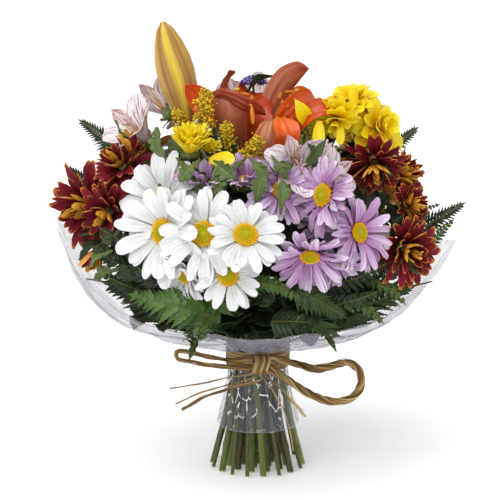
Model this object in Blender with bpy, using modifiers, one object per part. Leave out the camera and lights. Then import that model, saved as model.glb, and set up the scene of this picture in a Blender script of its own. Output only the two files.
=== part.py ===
"""Hand-tied bouquet of mixed garden flowers, standing on its spiralled stems.

Each cut stem is one solid that carries its own blooms. The stems cross at the
tie, splay out below it into a ring of feet and fan out above it into a dome.
Fern fronds ring the dome, a sheet of clear film is gathered round all of it,
and raffia ties the waist. Metres, +Z up. The origin is the foot of the middle
stem, under the centre of the whole, and the bouquet's front faces -Y.
"""

import math
from collections import namedtuple

import bmesh
import bpy
from mathutils import Matrix, Vector

# The bundle of stems. They lie in rings round the middle one and are closest at
# the tie, where the bundle neither turns nor spreads.
TIE_HEIGHT = 0.098
STEM_RADIUS = 0.0032
STEM_PITCH = 2 * STEM_RADIUS + 0.00045
UPPER_STEM_SHARE = 0.75
TWIG_RADIUS = 0.0016
STALK_RADIUS = 0.0022
RING_SIZES = (1, 6, 12, 18)
BUNDLE_RADIUS = 3 * STEM_PITCH + STEM_RADIUS
STALK_REACH = BUNDLE_RADIUS - STALK_RADIUS
TIE_SOFTNESS = 0.050
FOOT_SPLAY = 13.0
SPIRAL = 5.5
STEM_HEIGHTS = (-0.004, 0.045, 0.087, 0.109)
FORK_SHARE = 0.50
FORK_RISE = 0.46
BEND_SHARE = 0.35
NECK_SHARE = 0.40
STEM_STEPS = 3
TWIG_STEPS = 3
BEVEL_RESOLUTION = 2

# Fern fronds
FROND_STEPS = 9
FROND_THICKNESS = 0.0016
FROND_TIP_WIDTH = 0.004
FROND_BEND_SHARE = 0.30
BLADE_BASE_SHARE = 0.25
BLADE_WIDENING = 1.6
BLADE_NARROWING = 1.45
BLADE_WIDEST_AT = 0.345

# The raffia band, its knot and the clear film under it
CLEARANCE = 0.0003
FILM_THICKNESS = 0.0008
FILM_WAIST = BUNDLE_RADIUS + 2 * CLEARANCE + FILM_THICKNESS / 2
RAFFIA_INNER = FILM_WAIST + FILM_THICKNESS / 2 + 2 * CLEARANCE
RAFFIA_THICKNESS = 0.0026
RAFFIA_OUTER = RAFFIA_INNER + RAFFIA_THICKNESS
RAFFIA_BOTTOM = 0.0885
RAFFIA_TOP = 0.1065
BAND_STEPS = 24
KNOT_RADII = Vector((0.0080, 0.0052, 0.0085))
KNOT_CENTRE = Vector((0.003, -RAFFIA_OUTER - CLEARANCE - KNOT_RADII.y, 0.0970))
KNOT_LEAD = 0.004
CORD_SPACING = 0.008
SKIRT_BOTTOM = 0.037
SKIRT_RADIUS = 0.0350
SKIRT_HEIGHTS = (SKIRT_BOTTOM, 0.050, 0.064, 0.077, RAFFIA_BOTTOM - 0.001)
COLLAR_START = RAFFIA_TOP + 0.001
COLLAR_CORNERS = (0.199, 0.177)
COLLAR_FRONT = 0.113
COLLAR_BACK = 0.146
CORNER_SHARPNESS = 5
COLLAR_STEPS = 7
COLLAR_STEP_GROWTH = 1.15
SKIRT_FLARE = 1.1
FILM_SEGMENTS = 30
PLEATS = 10
PLEAT_DEPTH = 0.0022

# The collar's section, as radius and height, from the tie to its furthest corner
COLLAR_SECTION = (
    (FILM_WAIST, COLLAR_START), (0.031, 0.1115), (0.046, 0.1135), (0.070, 0.1165), (0.100, 0.124),
    (0.122, 0.135), (0.138, 0.149), (0.152, 0.168), (0.163, 0.192), (0.174, 0.220),
)

UP = Vector((0, 0, 1))

# The section of each kind of bloom, from its neck to its eye. A pair holds how
# far the ring lies ahead of the eye, and its radius, both as shares of the
# bloom's own radius. What is behind the eye is negative.
SECTIONS = {
    "daisy": ((-0.34, 0.06), (-0.27, 0.20), (-0.15, 0.36), (-0.10, 1.0), (-0.04, 1.0), (0.0, 0.30)),
    "mum": ((-0.75, 0.08), (-0.62, 0.35), (-0.32, 0.96), (-0.20, 1.0), (0.0, 0.52)),
    "trumpet": ((-1.75, 0.10), (-1.35, 0.22), (-0.55, 0.50), (-0.10, 1.0), (0.0, 0.86)),
    "lily": ((-1.75, 0.10), (-1.45, 0.26), (-0.60, 0.55), (-0.12, 1.0), (0.0, 0.80)),
    "bud": ((-5.2, 0.20), (-4.6, 0.62), (-3.2, 1.0), (-1.6, 0.86), (0.0, 0.26)),
    "plume": ((-4.2, 0.20), (-3.4, 0.75), (-1.8, 1.0), (-0.6, 0.66), (0.0, 0.30)),
    "tuft": ((-1.2, 0.14), (-0.9, 0.70), (-0.35, 1.0), (0.0, 0.72)),
}

COLOURS = {
    "white_daisy": (0.90, 0.90, 0.92),
    "lilac_daisy": (0.62, 0.42, 0.72),
    "yellow_chrysanthemum": (0.92, 0.72, 0.03),
    "crimson_chrysanthemum": (0.36, 0.02, 0.05),
    "alstroemeria": (0.80, 0.62, 0.66),
    "goldenrod": (0.80, 0.55, 0.03),
    "statice": (0.35, 0.27, 0.62),
    "lily_bloom": (0.85, 0.23, 0.04),
    "lily_bud": (0.80, 0.50, 0.08),
    "lily_stem": (0.16, 0.24, 0.06),
    "fern": (0.05, 0.16, 0.04),
    "film": (0.80, 0.82, 0.86),
    "raffia": (0.52, 0.34, 0.16),
}

# A bloom's eye, the way it faces (azimuth and elevation in degrees, with 270 at
# the front), its radius and the name of its section.
Bloom = namedtuple("Bloom", "eye azimuth elevation radius section")


def daisy(x, y, z, azimuth, elevation, radius=0.027):
    return Bloom(Vector((x, y, z)), azimuth, elevation, radius, "daisy")


def mum(x, y, z, azimuth, elevation, radius=0.021):
    return Bloom(Vector((x, y, z)), azimuth, elevation, radius, "mum")


def trumpet(x, y, z, azimuth, elevation, radius=0.018):
    return Bloom(Vector((x, y, z)), azimuth, elevation, radius, "trumpet")


def lily(x, y, z, azimuth, elevation, radius=0.030):
    return Bloom(Vector((x, y, z)), azimuth, elevation, radius, "lily")


def bud(x, y, z, azimuth, elevation, radius=0.005):
    return Bloom(Vector((x, y, z)), azimuth, elevation, radius, "bud")


def plume(x, y, z, azimuth, elevation, radius=0.007):
    return Bloom(Vector((x, y, z)), azimuth, elevation, radius, "plume")


def tuft(x, y, z, azimuth, elevation, radius=0.012):
    return Bloom(Vector((x, y, z)), azimuth, elevation, radius, "tuft")


# Each cut stem's blooms. The first one ends the stem itself.
SPRAYS = {
    "white_daisy_spray_1": (
        daisy(-0.076, -0.108, 0.224, 248, 2),
        daisy(-0.084, -0.084, 0.264, 176, 52, 0.022),
        daisy(-0.060, -0.116, 0.190, 235, -35, 0.015),
    ),
    "white_daisy_spray_2": (
        daisy(-0.010, -0.146, 0.229, 270, 8),
        daisy(-0.043, -0.126, 0.226, 262, 8, 0.025),
        daisy(-0.024, -0.124, 0.194, 266, -12, 0.024),
    ),
    "white_daisy_spray_3": (
        daisy(0.010, 0.142, 0.222, 88, 8),
        daisy(-0.030, 0.128, 0.242, 100, 18),
        daisy(-0.020, 0.126, 0.194, 95, -12, 0.022),
    ),
    "lilac_daisy_spray_1": (
        daisy(0.080, -0.110, 0.224, 300, 4),
        daisy(0.050, -0.116, 0.255, 300, 16, 0.024),
        daisy(0.040, -0.130, 0.208, 270, -18, 0.025),
    ),
    "lilac_daisy_spray_2": (
        daisy(0.018, -0.100, 0.256, 278, 30, 0.022),
        daisy(-0.010, -0.098, 0.270, 268, 40, 0.020),
        daisy(-0.042, -0.094, 0.262, 255, 40, 0.022),
    ),
    "lilac_daisy_spray_3": (
        daisy(-0.078, 0.108, 0.226, 124, 6),
        daisy(-0.064, 0.090, 0.264, 122, 36, 0.022),
        daisy(-0.060, 0.058, 0.298, 130, 60, 0.020),
    ),
    "lilac_daisy_spray_4": (
        daisy(0.056, 0.120, 0.240, 66, 14),
        daisy(0.072, 0.108, 0.202, 56, -8, 0.022),
    ),
    "yellow_chrysanthemum_spray_1": (
        mum(-0.056, -0.082, 0.298, 250, 50, 0.017),
        mum(-0.034, -0.083, 0.291, 265, 45, 0.011),
    ),
    "yellow_chrysanthemum_spray_2": (
        mum(0.074, -0.022, 0.322, 190, 72, 0.017),
        mum(0.104, -0.022, 0.300, 345, 28, 0.018),
        mum(0.062, -0.058, 0.304, 285, 10, 0.014),
    ),
    "yellow_chrysanthemum_spray_3": (
        mum(0.006, 0.100, 0.286, 85, 40, 0.018),
        mum(0.046, 0.086, 0.288, 60, 42, 0.018),
    ),
    "crimson_chrysanthemum_spray_1": (
        mum(-0.148, -0.022, 0.228, 195, 15, 0.022),
        bud(-0.140, -0.058, 0.180, 215, -62),
    ),
    "crimson_chrysanthemum_spray_2": (
        mum(-0.116, -0.046, 0.270, 205, 42, 0.020),
        mum(-0.122, -0.066, 0.234, 222, 8, 0.016),
        bud(-0.110, -0.028, 0.296, 170, 72),
    ),
    "crimson_chrysanthemum_spray_3": (
        mum(0.094, -0.080, 0.276, 305, 38, 0.019),
        mum(0.120, -0.044, 0.262, 330, 25, 0.018),
    ),
    "crimson_chrysanthemum_spray_4": (
        mum(0.122, -0.088, 0.205, 312, -18),
        mum(0.126, -0.064, 0.238, 322, 5, 0.015),
    ),
    "crimson_chrysanthemum_spray_5": (
        mum(0.112, 0.078, 0.232, 36, 8),
        mum(0.096, 0.068, 0.270, 36, 40, 0.019),
    ),
    "crimson_chrysanthemum_spray_6": (
        mum(-0.120, 0.066, 0.228, 150, 8),
        mum(-0.104, 0.056, 0.268, 150, 40, 0.019),
    ),
    "alstroemeria_stem_1": (
        trumpet(-0.104, -0.006, 0.318, 190, 68),
        trumpet(-0.086, 0.020, 0.334, 160, 68, 0.015),
    ),
    "alstroemeria_stem_2": (
        trumpet(0.032, -0.096, 0.292, 272, 38),
        trumpet(0.058, -0.096, 0.278, 285, 25, 0.014),
        bud(0.050, -0.078, 0.310, 270, 70, 0.004),
    ),
    "alstroemeria_stem_3": (
        trumpet(-0.030, 0.070, 0.312, 108, 58),
        trumpet(-0.002, 0.060, 0.324, 88, 62, 0.016),
    ),
    "goldenrod_stem_1": (
        plume(-0.044, -0.058, 0.334, 60, 76),
        plume(-0.062, -0.044, 0.318, 200, 70, 0.005),
    ),
    "goldenrod_stem_2": (
        plume(-0.006, -0.080, 0.308, 300, 62),
        plume(-0.026, -0.060, 0.312, 240, 72, 0.006),
    ),
    "goldenrod_stem_3": (
        plume(0.052, 0.044, 0.330, 40, 70, 0.009),
        plume(0.082, 0.036, 0.312, 30, 60),
    ),
    "statice_stem_1": (
        tuft(-0.004, 0.016, 0.344, 90, 85),
        tuft(0.018, 0.030, 0.334, 60, 75, 0.010),
    ),
}

# The lily's stem is the middle one. Its heads are solids of their own.
LILY_HEADS = {
    "lily_bloom_left": lily(-0.018, -0.026, 0.332, 250, 76, 0.028),
    "lily_bloom_right": lily(0.033, -0.038, 0.332, 300, 64),
    "lily_bud": bud(-0.079, -0.004, 0.381, 180, 76, 0.0165),
}

# A frond's tip, its blade's length and width, and the slopes at which it leaves
# the tie and ends.
Frond = namedtuple("Frond", "azimuth reach height length width leave_slope tip_slope")
FRONDS = (
    Frond(252, 0.168, 0.140, 0.128, 0.058, 0.40, -0.70),
    Frond(290, 0.166, 0.146, 0.128, 0.058, 0.55, -0.50),
    Frond(328, 0.166, 0.180, 0.128, 0.058, 0.35, 0.25),
    Frond(8, 0.160, 0.214, 0.128, 0.054, 0.45, 1.20),
    Frond(48, 0.164, 0.176, 0.128, 0.058, 0.35, 0.20),
    Frond(90, 0.160, 0.176, 0.128, 0.058, 0.55, -0.05),
    Frond(132, 0.164, 0.184, 0.128, 0.058, 0.42, 0.25),
    Frond(170, 0.158, 0.206, 0.128, 0.054, 0.45, 1.20),
    Frond(212, 0.164, 0.182, 0.128, 0.058, 0.45, 0.20),
    Frond(352, 0.172, 0.232, 0.070, 0.022, 1.20, 0.60),
    Frond(14, 0.140, 0.288, 0.060, 0.020, 2.20, 0.60),
    Frond(178, 0.162, 0.258, 0.060, 0.020, 1.60, 0.60),
    Frond(172, 0.152, 0.296, 0.060, 0.020, 2.20, 0.60),
)

# The bow's free raffia. Each cord leaves the knot towards its first vector, and a
# loop comes back to the knot from its last. Between them are its own route points.
Cord = namedtuple("Cord", "radius leaves route returns")
CORDS = {
    "raffia_loop_left": Cord(0.0022, (-1.0, -0.1, 0.45), (
        (-0.022, -0.0395, 0.1020), (-0.042, -0.0450, 0.1070), (-0.060, -0.0500, 0.1120), (-0.0675, -0.0515, 0.1120),
        (-0.0670, -0.0520, 0.1067), (-0.058, -0.0500, 0.1040), (-0.040, -0.0450, 0.0990), (-0.022, -0.0390, 0.0962),
    ), (-1.0, -0.1, -0.20)),
    "raffia_loop_right": Cord(0.0034, (1.0, -0.1, 0.45), (
        (0.032, -0.0400, 0.0990), (0.048, -0.0450, 0.0965), (0.060, -0.0480, 0.0995), (0.073, -0.0500, 0.1030),
        (0.0825, -0.0510, 0.0985), (0.0865, -0.0510, 0.0880), (0.0835, -0.0510, 0.0775), (0.074, -0.0500, 0.0705),
        (0.060, -0.0480, 0.0690), (0.044, -0.0450, 0.0735), (0.027, -0.0400, 0.0835),
    ), (1.0, -0.2, -0.5)),
    "raffia_tail_1": Cord(0.0010, (-0.8, -0.3, -0.7), (
        (-0.024, -0.0420, 0.0880), (-0.046, -0.0475, 0.0845), (-0.0740, -0.0520, 0.0810),
    ), None),
    "raffia_tail_2": Cord(0.0010, (-0.5, -0.5, -0.9), (
        (-0.022, -0.0450, 0.0830), (-0.045, -0.0500, 0.0780), (-0.0690, -0.0530, 0.0680),
    ), None),
    "raffia_tail_3": Cord(0.0018, (0.02, -0.1, -1.0), (
        (-0.020, -0.0400, 0.0790), (-0.043, -0.0460, 0.0730), (-0.0640, -0.0490, 0.0620),
    ), None),
    "raffia_tail_4": Cord(0.0014, (0.35, -0.6, -0.72), (
        (0.018, -0.0430, 0.0790), (0.029, -0.0450, 0.0680), (0.0400, -0.0460, 0.0550),
    ), None),
    "raffia_tail_5": Cord(0.0008, (0.0, -0.75, -0.66), (
        (0.013, -0.0450, 0.0760), (0.0235, -0.0450, 0.0550), (0.0300, -0.0450, 0.0250),
    ), None),
}


def bearing(azimuth, elevation=0.0):
    """The unit vector that points this way, from angles in degrees."""
    turn = math.radians(azimuth)
    rise = math.radians(elevation)
    return Vector((math.cos(turn) * math.cos(rise), math.sin(turn) * math.cos(rise), math.sin(rise)))


def facing(bloom):
    return bearing(bloom.azimuth, bloom.elevation)


# Paths


def in_bundle(slot, height):
    """Where a stem crosses this height. The bundle turns and spreads as one, so no two stems meet."""
    away = height - TIE_HEIGHT
    spread = math.hypot(away, TIE_SOFTNESS) - TIE_SOFTNESS
    spot = slot * complex(1 + FOOT_SPLAY * spread, -SPIRAL * away)
    return Vector((spot.real, spot.imag, height))


def ring_slots(ring):
    """The places at the tie of one ring of stems, as complex numbers, in order of azimuth."""
    count = RING_SIZES[ring]
    turns = [2 * math.pi * i / count for i in range(count)]
    return [ring * STEM_PITCH * complex(math.cos(turn), math.sin(turn)) for turn in turns]


def angle_between(slot, azimuth):
    gap = math.degrees(math.atan2(slot.imag, slot.real)) - azimuth
    return abs((gap + 180) % 360 - 180)


def deal_slots(azimuths):
    """Gives each stem a place at the tie: the first in the middle, the rest ring by ring in order of azimuth."""
    slots = {}
    names = list(azimuths)
    for ring, count in enumerate(RING_SIZES):
        group = sorted(names[:count], key=lambda name: azimuths[name])
        names = names[count:]
        free = ring_slots(ring)
        step = len(free) / len(group)
        deals = []
        for first in range(len(free)):
            places = [free[(first + int(i * step)) % len(free)] for i in range(len(group))]
            strain = sum(angle_between(place, azimuths[name]) ** 2 for place, name in zip(places, group) if ring)
            deals.append((strain, first, places))
        slots.update(zip(group, min(deals, key=lambda deal: deal[:2])[2]))
    return slots


def arc_points(start, out_of, end, into, steps):
    """Points along the smooth curve that leaves one place and enters another along the given vectors."""
    near = start + out_of
    far = end - into
    points = []
    for i in range(1, steps + 1):
        t = i / steps
        s = 1 - t
        points.append(s**3 * start + 3 * s * s * t * near + 3 * s * t * t * far + t**3 * end)
    return points


def smooth_route(route, spacing):
    """Evenly close points on the smooth curve through a cord's own route points."""
    ends = [2 * route[0] - route[1]] + list(route) + [2 * route[-1] - route[-2]]
    points = [route[0]]
    for before, near, far, after in zip(ends, ends[1:], ends[2:], ends[3:]):
        steps = max(1, round((far - near).length / spacing))
        for i in range(1, steps + 1):
            t = i / steps
            linear = (far - before) * t
            square = (2 * before - 5 * near + 4 * far - after) * t**2
            cube = (3 * near - before - 3 * far + after) * t**3
            points.append(0.5 * (2 * near + linear + square + cube))
    return points


# Objects and meshes


def material(name, colour, alpha):
    mat = bpy.data.materials.new(name)
    mat.use_nodes = True
    shader = mat.node_tree.nodes["Principled BSDF"]
    shader.inputs["Base Color"].default_value = (*colour, 1)
    shader.inputs["Roughness"].default_value = 0.6
    shader.inputs["Alpha"].default_value = alpha
    mat.diffuse_color = (*colour, alpha)
    return mat


def finish(obj, kind, alpha=1.0):
    """Files the object under the bouquet, with a material of its own in its kind's colour."""
    bpy.data.collections["bouquet"].objects.link(obj)
    obj.data.materials.append(material(obj.name, COLOURS[kind], alpha))
    return obj


def tube(name, path, radii):
    """A round curve object along the path, with a radius at each of its points."""
    curve = bpy.data.curves.new(name, "CURVE")
    curve.dimensions = "3D"
    curve.bevel_depth = 1.0
    curve.bevel_resolution = BEVEL_RESOLUTION
    curve.use_fill_caps = True
    spline = curve.splines.new("POLY")
    spline.points.add(len(path) - 1)
    for point, place, radius in zip(spline.points, path, radii):
        point.co = (*place, 1)
        point.radius = radius
    return bpy.data.objects.new(name, curve)


def tube_mesh(name, path, radii):
    """The same tube as a closed mesh, which can be cut and joined."""
    guide = tube(name + ".guide", path, radii)
    bpy.context.scene.collection.objects.link(guide)
    graph = bpy.context.evaluated_depsgraph_get()
    mesh = bpy.data.meshes.new_from_object(guide.evaluated_get(graph))
    mesh.name = name
    bpy.data.objects.remove(guide)
    return close_mesh(mesh)


def close_mesh(mesh, foot=None):
    """Welds the mesh, cuts it off flat at its foot if a height is given, and turns its faces outward."""
    bm = bmesh.new()
    bm.from_mesh(mesh)
    bmesh.ops.remove_doubles(bm, verts=bm.verts, dist=1e-6)
    if foot is not None:
        everything = bm.verts[:] + bm.edges[:] + bm.faces[:]
        cut = bmesh.ops.bisect_plane(bm, geom=everything, plane_co=(0, 0, foot), plane_no=UP, clear_inner=True)
        rim = [item for item in cut["geom_cut"] if isinstance(item, bmesh.types.BMEdge)]
        bmesh.ops.edgeloop_fill(bm, edges=rim)
    bmesh.ops.recalc_face_normals(bm, faces=bm.faces)
    bm.to_mesh(mesh)
    bm.free()
    return mesh


def cutter(name, mesh):
    """A hidden solid that a Boolean modifier reads."""
    obj = bpy.data.objects.new(name, mesh)
    obj.hide_render = True
    obj.display_type = "WIRE"
    bpy.data.collections["cutters"].objects.link(obj)
    return obj


def join(obj, other):
    union = obj.modifiers.new("Join " + other.name, "BOOLEAN")
    union.operation = "UNION"
    union.object = other


# Flower stems and blooms


def head_rings(bloom):
    """The path points and radii of a bloom's solid, from its neck to its eye."""
    section = SECTIONS[bloom.section]
    path = [bloom.eye + facing(bloom) * (ahead * bloom.radius) for ahead, _ in section]
    return path, [share * bloom.radius for _, share in section]


def fork_of(blooms):
    """Where the stem parts into twigs, part of the way out to the middle of its blooms, and the way on."""
    middle = sum((bloom.eye for bloom in blooms), Vector()) / len(blooms)
    start = STEM_HEIGHTS[-1]
    fork = Vector((FORK_SHARE * middle.x, FORK_SHARE * middle.y, start + FORK_RISE * (middle.z - start)))
    return fork, (middle - fork).normalized()


def stem_path(slot, fork, onward):
    """From below the feet, through the tie, to the fork."""
    path = [in_bundle(slot, height) for height in STEM_HEIGHTS]
    leave = (path[-1] - path[-2]).normalized()
    bend = (fork - path[-1]).length * BEND_SHARE
    return path + arc_points(path[-1], leave * bend, fork, onward * bend, STEM_STEPS)


def twig_path(fork, onward, bloom, with_head):
    """The path and radii from the fork to a bloom, and on through the bloom's own rings."""
    rings, radii = head_rings(bloom)
    way = facing(bloom)
    neck = rings[0] if with_head else rings[0] - way * 2 * CLEARANCE
    span = (neck - fork).length
    path = arc_points(fork, onward * span * BEND_SHARE, neck, way * span * NECK_SHARE, TWIG_STEPS)
    if not with_head:
        return path, [TWIG_RADIUS] * len(path)
    return path[:-1] + rings, [TWIG_RADIUS] * (len(path) - 1) + radii


def build_stem(name, blooms, slot, kind, with_heads=True):
    """One cut stem: it runs on into its first bloom, and a twig joins it at the fork for each other bloom."""
    fork, onward = fork_of(blooms)
    path = stem_path(slot, fork, onward)
    thick = len(STEM_HEIGHTS) + 1
    radii = [STEM_RADIUS] * thick + [STEM_RADIUS * UPPER_STEM_SHARE] * (len(path) - thick)
    twig, twig_radii = twig_path(fork, onward, blooms[0], with_heads)
    mesh = close_mesh(tube_mesh(name, path + twig, radii + twig_radii), foot=0.0)
    obj = bpy.data.objects.new(name, mesh)
    for number, bloom in enumerate(blooms[1:], 2):
        twig, twig_radii = twig_path(fork, onward, bloom, with_heads)
        branch = f"{name}.twig_{number}"
        join(obj, cutter(branch, tube_mesh(branch, [fork] + twig, [TWIG_RADIUS] + twig_radii)))
    return finish(obj, kind)


# Fern fronds


def loft(name, path, across, widths, thicknesses):
    """A closed solid through flattened six-sided rings, each with its own width and thickness."""
    bm = bmesh.new()
    loops = []
    for i, place in enumerate(path):
        along = (path[min(i + 1, len(path) - 1)] - path[max(i - 1, 0)]).normalized()
        up = along.cross(across).normalized()
        turn = Matrix((up.cross(along), up, along)).transposed().to_4x4()
        size = Matrix.Diagonal((widths[i] / 2, thicknesses[i] / 2, 1, 1))
        placed = Matrix.Translation(place) @ turn @ size
        ring = set(bmesh.ops.create_circle(bm, segments=6, radius=1.0, matrix=placed)["verts"])
        loops.append([edge for edge in bm.edges if ring.issuperset(edge.verts)])
    for near, far in zip(loops, loops[1:]):
        bmesh.ops.bridge_loops(bm, edges=near + far)
    for end in (loops[0], loops[-1]):
        bmesh.ops.edgeloop_fill(bm, edges=end)
    mesh = bpy.data.meshes.new(name)
    bm.to_mesh(mesh)
    bm.free()
    return mesh


def blade_width(frond, share):
    """The blade widens quickly from its base and then tapers to its tip."""
    rise = min(1.0, BLADE_BASE_SHARE + BLADE_WIDENING * share)
    fall = min(1.0, 1.0 - BLADE_NARROWING * (share - BLADE_WIDEST_AT))
    return max(FROND_TIP_WIDTH, frond.width * rise * fall)


def build_frond(name, frond, slot):
    """A fern frond: a thin stalk through the tie, then a flat tapering blade that reaches out over the film."""
    slot *= STALK_REACH / abs(slot)
    path = [in_bundle(slot, height) for height in STEM_HEIGHTS]
    out = bearing(frond.azimuth)
    tip = out * frond.reach + UP * frond.height
    span = (tip - path[-1]).length
    leave = (out + UP * frond.leave_slope).normalized() * span * BEND_SHARE
    enter = (out + UP * frond.tip_slope).normalized() * span * FROND_BEND_SHARE
    path += arc_points(path[-1], leave, tip, enter, FROND_STEPS)
    lengths = [0.0]
    for near, far in zip(path, path[1:]):
        lengths.append(lengths[-1] + (far - near).length)
    widths = []
    thicknesses = []
    for length in lengths:
        share = 1 - (lengths[-1] - length) / frond.length
        widths.append(blade_width(frond, share) if share > 0 else STALK_RADIUS * 2)
        thicknesses.append(FROND_THICKNESS if share > 0 else STALK_RADIUS * 2)
    across = Vector((-out.y, out.x, 0))
    mesh = close_mesh(loft(name, path, across, widths, thicknesses), foot=0.0)
    return finish(bpy.data.objects.new(name, mesh), "fern")


# The film, the raffia band, its knot and its cords


def along_section(distance):
    """The radius and height on the collar's section at a distance from the tie."""
    for near, far in zip(COLLAR_SECTION, COLLAR_SECTION[1:]):
        step = math.dist(near, far)
        if distance <= step or far is COLLAR_SECTION[-1]:
            share = distance / step
            return near[0] + (far[0] - near[0]) * share, near[1] + (far[1] - near[1]) * share
        distance -= step


def collar_length(azimuth):
    """How far the film runs from the tie: a corner stands out at the left and at the right."""
    across = math.cos(azimuth)
    corner = COLLAR_CORNERS[0] if across < 0 else COLLAR_CORNERS[1]
    side = COLLAR_FRONT if math.sin(azimuth) < 0 else COLLAR_BACK
    return side + (corner - side) * abs(across) ** CORNER_SHARPNESS


def film_point(azimuth, level):
    """A point of the film: first the rings of the skirt, from its hem up, then those of the collar."""
    pleat = math.cos(PLEATS * azimuth)
    if level < len(SKIRT_HEIGHTS):
        height = SKIRT_HEIGHTS[level]
        free = (SKIRT_HEIGHTS[-1] - height) / (SKIRT_HEIGHTS[-1] - SKIRT_BOTTOM)
        radius = FILM_WAIST + (SKIRT_RADIUS - FILM_WAIST) * free**SKIRT_FLARE + PLEAT_DEPTH / 2 * free * pleat
    else:
        share = (level - len(SKIRT_HEIGHTS)) / COLLAR_STEPS
        radius, height = along_section(share**COLLAR_STEP_GROWTH * collar_length(azimuth))
        height += PLEAT_DEPTH * pleat * share
    return Vector((radius * math.cos(azimuth), radius * math.sin(azimuth), height))


def build_film():
    """The clear sheet: a turned strip whose rings are then drawn out to the skirt and the collar."""
    bm = bmesh.new()
    levels = len(SKIRT_HEIGHTS) + COLLAR_STEPS + 1
    verts = [bm.verts.new((1, 0, level)) for level in range(levels)]
    edges = [bm.edges.new(pair) for pair in zip(verts, verts[1:])]
    bmesh.ops.spin(
        bm, geom=verts + edges, cent=(0, 0, 0), axis=UP, dvec=(0, 0, 0),
        angle=2 * math.pi, steps=FILM_SEGMENTS, use_merge=True, use_duplicate=False,
    )
    bmesh.ops.remove_doubles(bm, verts=bm.verts, dist=1e-4)
    for vert in bm.verts:
        vert.co = film_point(math.atan2(vert.co.y, vert.co.x), round(vert.co.z))
    bmesh.ops.recalc_face_normals(bm, faces=bm.faces)
    mesh = bpy.data.meshes.new("film_collar")
    bm.to_mesh(mesh)
    bm.free()
    obj = bpy.data.objects.new("film_collar", mesh)
    skin = obj.modifiers.new("Thickness", "SOLIDIFY")
    skin.thickness = FILM_THICKNESS
    skin.offset = 0.0
    return finish(obj, "film", 0.4)


def build_band():
    """The raffia wound round the waist, as one turned ring."""
    mid = (RAFFIA_INNER + RAFFIA_OUTER) / 2
    soft = (RAFFIA_OUTER - RAFFIA_INNER) / 2
    profile = (
        (mid, RAFFIA_TOP), (RAFFIA_OUTER, RAFFIA_TOP - soft), (RAFFIA_OUTER, RAFFIA_BOTTOM + soft),
        (mid, RAFFIA_BOTTOM), (RAFFIA_INNER, RAFFIA_BOTTOM + soft), (RAFFIA_INNER, RAFFIA_TOP - soft),
    )
    mesh = bpy.data.meshes.new("raffia_band")
    edges = [(i, (i + 1) % len(profile)) for i in range(len(profile))]
    mesh.from_pydata([(x, 0, z) for x, z in profile], edges, [])
    obj = bpy.data.objects.new("raffia_band", mesh)
    turn = obj.modifiers.new("Turn", "SCREW")
    turn.steps = BAND_STEPS
    turn.render_steps = BAND_STEPS
    turn.use_merge_vertices = True
    turn.merge_threshold = 0.0001
    return finish(obj, "raffia")


def build_knot():
    bm = bmesh.new()
    bmesh.ops.create_uvsphere(bm, u_segments=12, v_segments=8, radius=1.0)
    bmesh.ops.transform(bm, matrix=Matrix.Diagonal((*KNOT_RADII, 1)), verts=bm.verts)
    mesh = bpy.data.meshes.new("raffia_knot")
    bm.to_mesh(mesh)
    bm.free()
    obj = bpy.data.objects.new("raffia_knot", mesh)
    obj.location = KNOT_CENTRE
    return finish(obj, "raffia")


def knot_seat(direction):
    """The place just off the knot's surface on this side of it, and the way out from there."""
    spot = Vector(direction).normalized() * KNOT_RADII
    way = Vector([spot[i] / KNOT_RADII[i] ** 2 for i in range(3)]).normalized()
    return KNOT_CENTRE + spot + way * CLEARANCE, way


def build_cord(name, cord):
    seat, way = knot_seat(cord.leaves)
    route = [seat, seat + way * KNOT_LEAD] + [Vector(place) for place in cord.route]
    if cord.returns:
        seat, way = knot_seat(cord.returns)
        route += [seat + way * KNOT_LEAD, seat]
    points = smooth_route(route, max(cord.radius * 5, CORD_SPACING))
    return finish(tube(name, points, [cord.radius] * len(points)), "raffia")


def clear_scene():
    for obj in list(bpy.data.objects):
        bpy.data.objects.remove(obj)
    for name in ("bouquet", "cutters"):
        bpy.context.scene.collection.children.link(bpy.data.collections.new(name))


def flat_azimuth(place):
    return math.degrees(math.atan2(place.y, place.x))


def main():
    clear_scene()
    fronds = {f"fern_frond_{number:02d}": frond for number, frond in enumerate(FRONDS, 1)}
    forks = {name: fork_of(blooms)[0] for name, blooms in SPRAYS.items()}
    from_middle = sorted(forks, key=lambda name: forks[name].xy.length)
    azimuths = {"lily_stem": 0.0}
    azimuths.update((name, flat_azimuth(forks[name])) for name in from_middle)
    azimuths.update((name, flat_azimuth(bearing(frond.azimuth))) for name, frond in fronds.items())
    slots = deal_slots(azimuths)
    for name, blooms in SPRAYS.items():
        kind = name.rsplit("_", 2)[0]
        build_stem(name, blooms, slots[name], kind)
    build_stem("lily_stem", list(LILY_HEADS.values()), slots["lily_stem"], "lily_stem", with_heads=False)
    for name, head in LILY_HEADS.items():
        kind = "lily_bud" if name == "lily_bud" else "lily_bloom"
        finish(tube(name, *head_rings(head)), kind)
    for name, frond in fronds.items():
        build_frond(name, frond, slots[name])
    build_film()
    build_band()
    build_knot()
    for name, cord in CORDS.items():
        build_cord(name, cord)


main()
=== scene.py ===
"""Looks for the hand-tied bouquet, modelled round its packed solids.

Each operator makes one kind of piece where the solids stand: the petals and
discs of the blooms, the stems, the leaves, the fern fronds, the film and the
raffia. The last one sets the floor, the lights and the camera. Metres, +Z up.
"""

import random
from collections import namedtuple
from functools import cache, partial
from itertools import accumulate
from math import copysign, cos, exp, pi, radians, sin, sqrt

import bmesh
import bpy
from bpy.types import Operator, Panel, PropertyGroup
from mathutils import Matrix, Vector, noise
from mathutils.bvhtree import BVHTree


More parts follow.
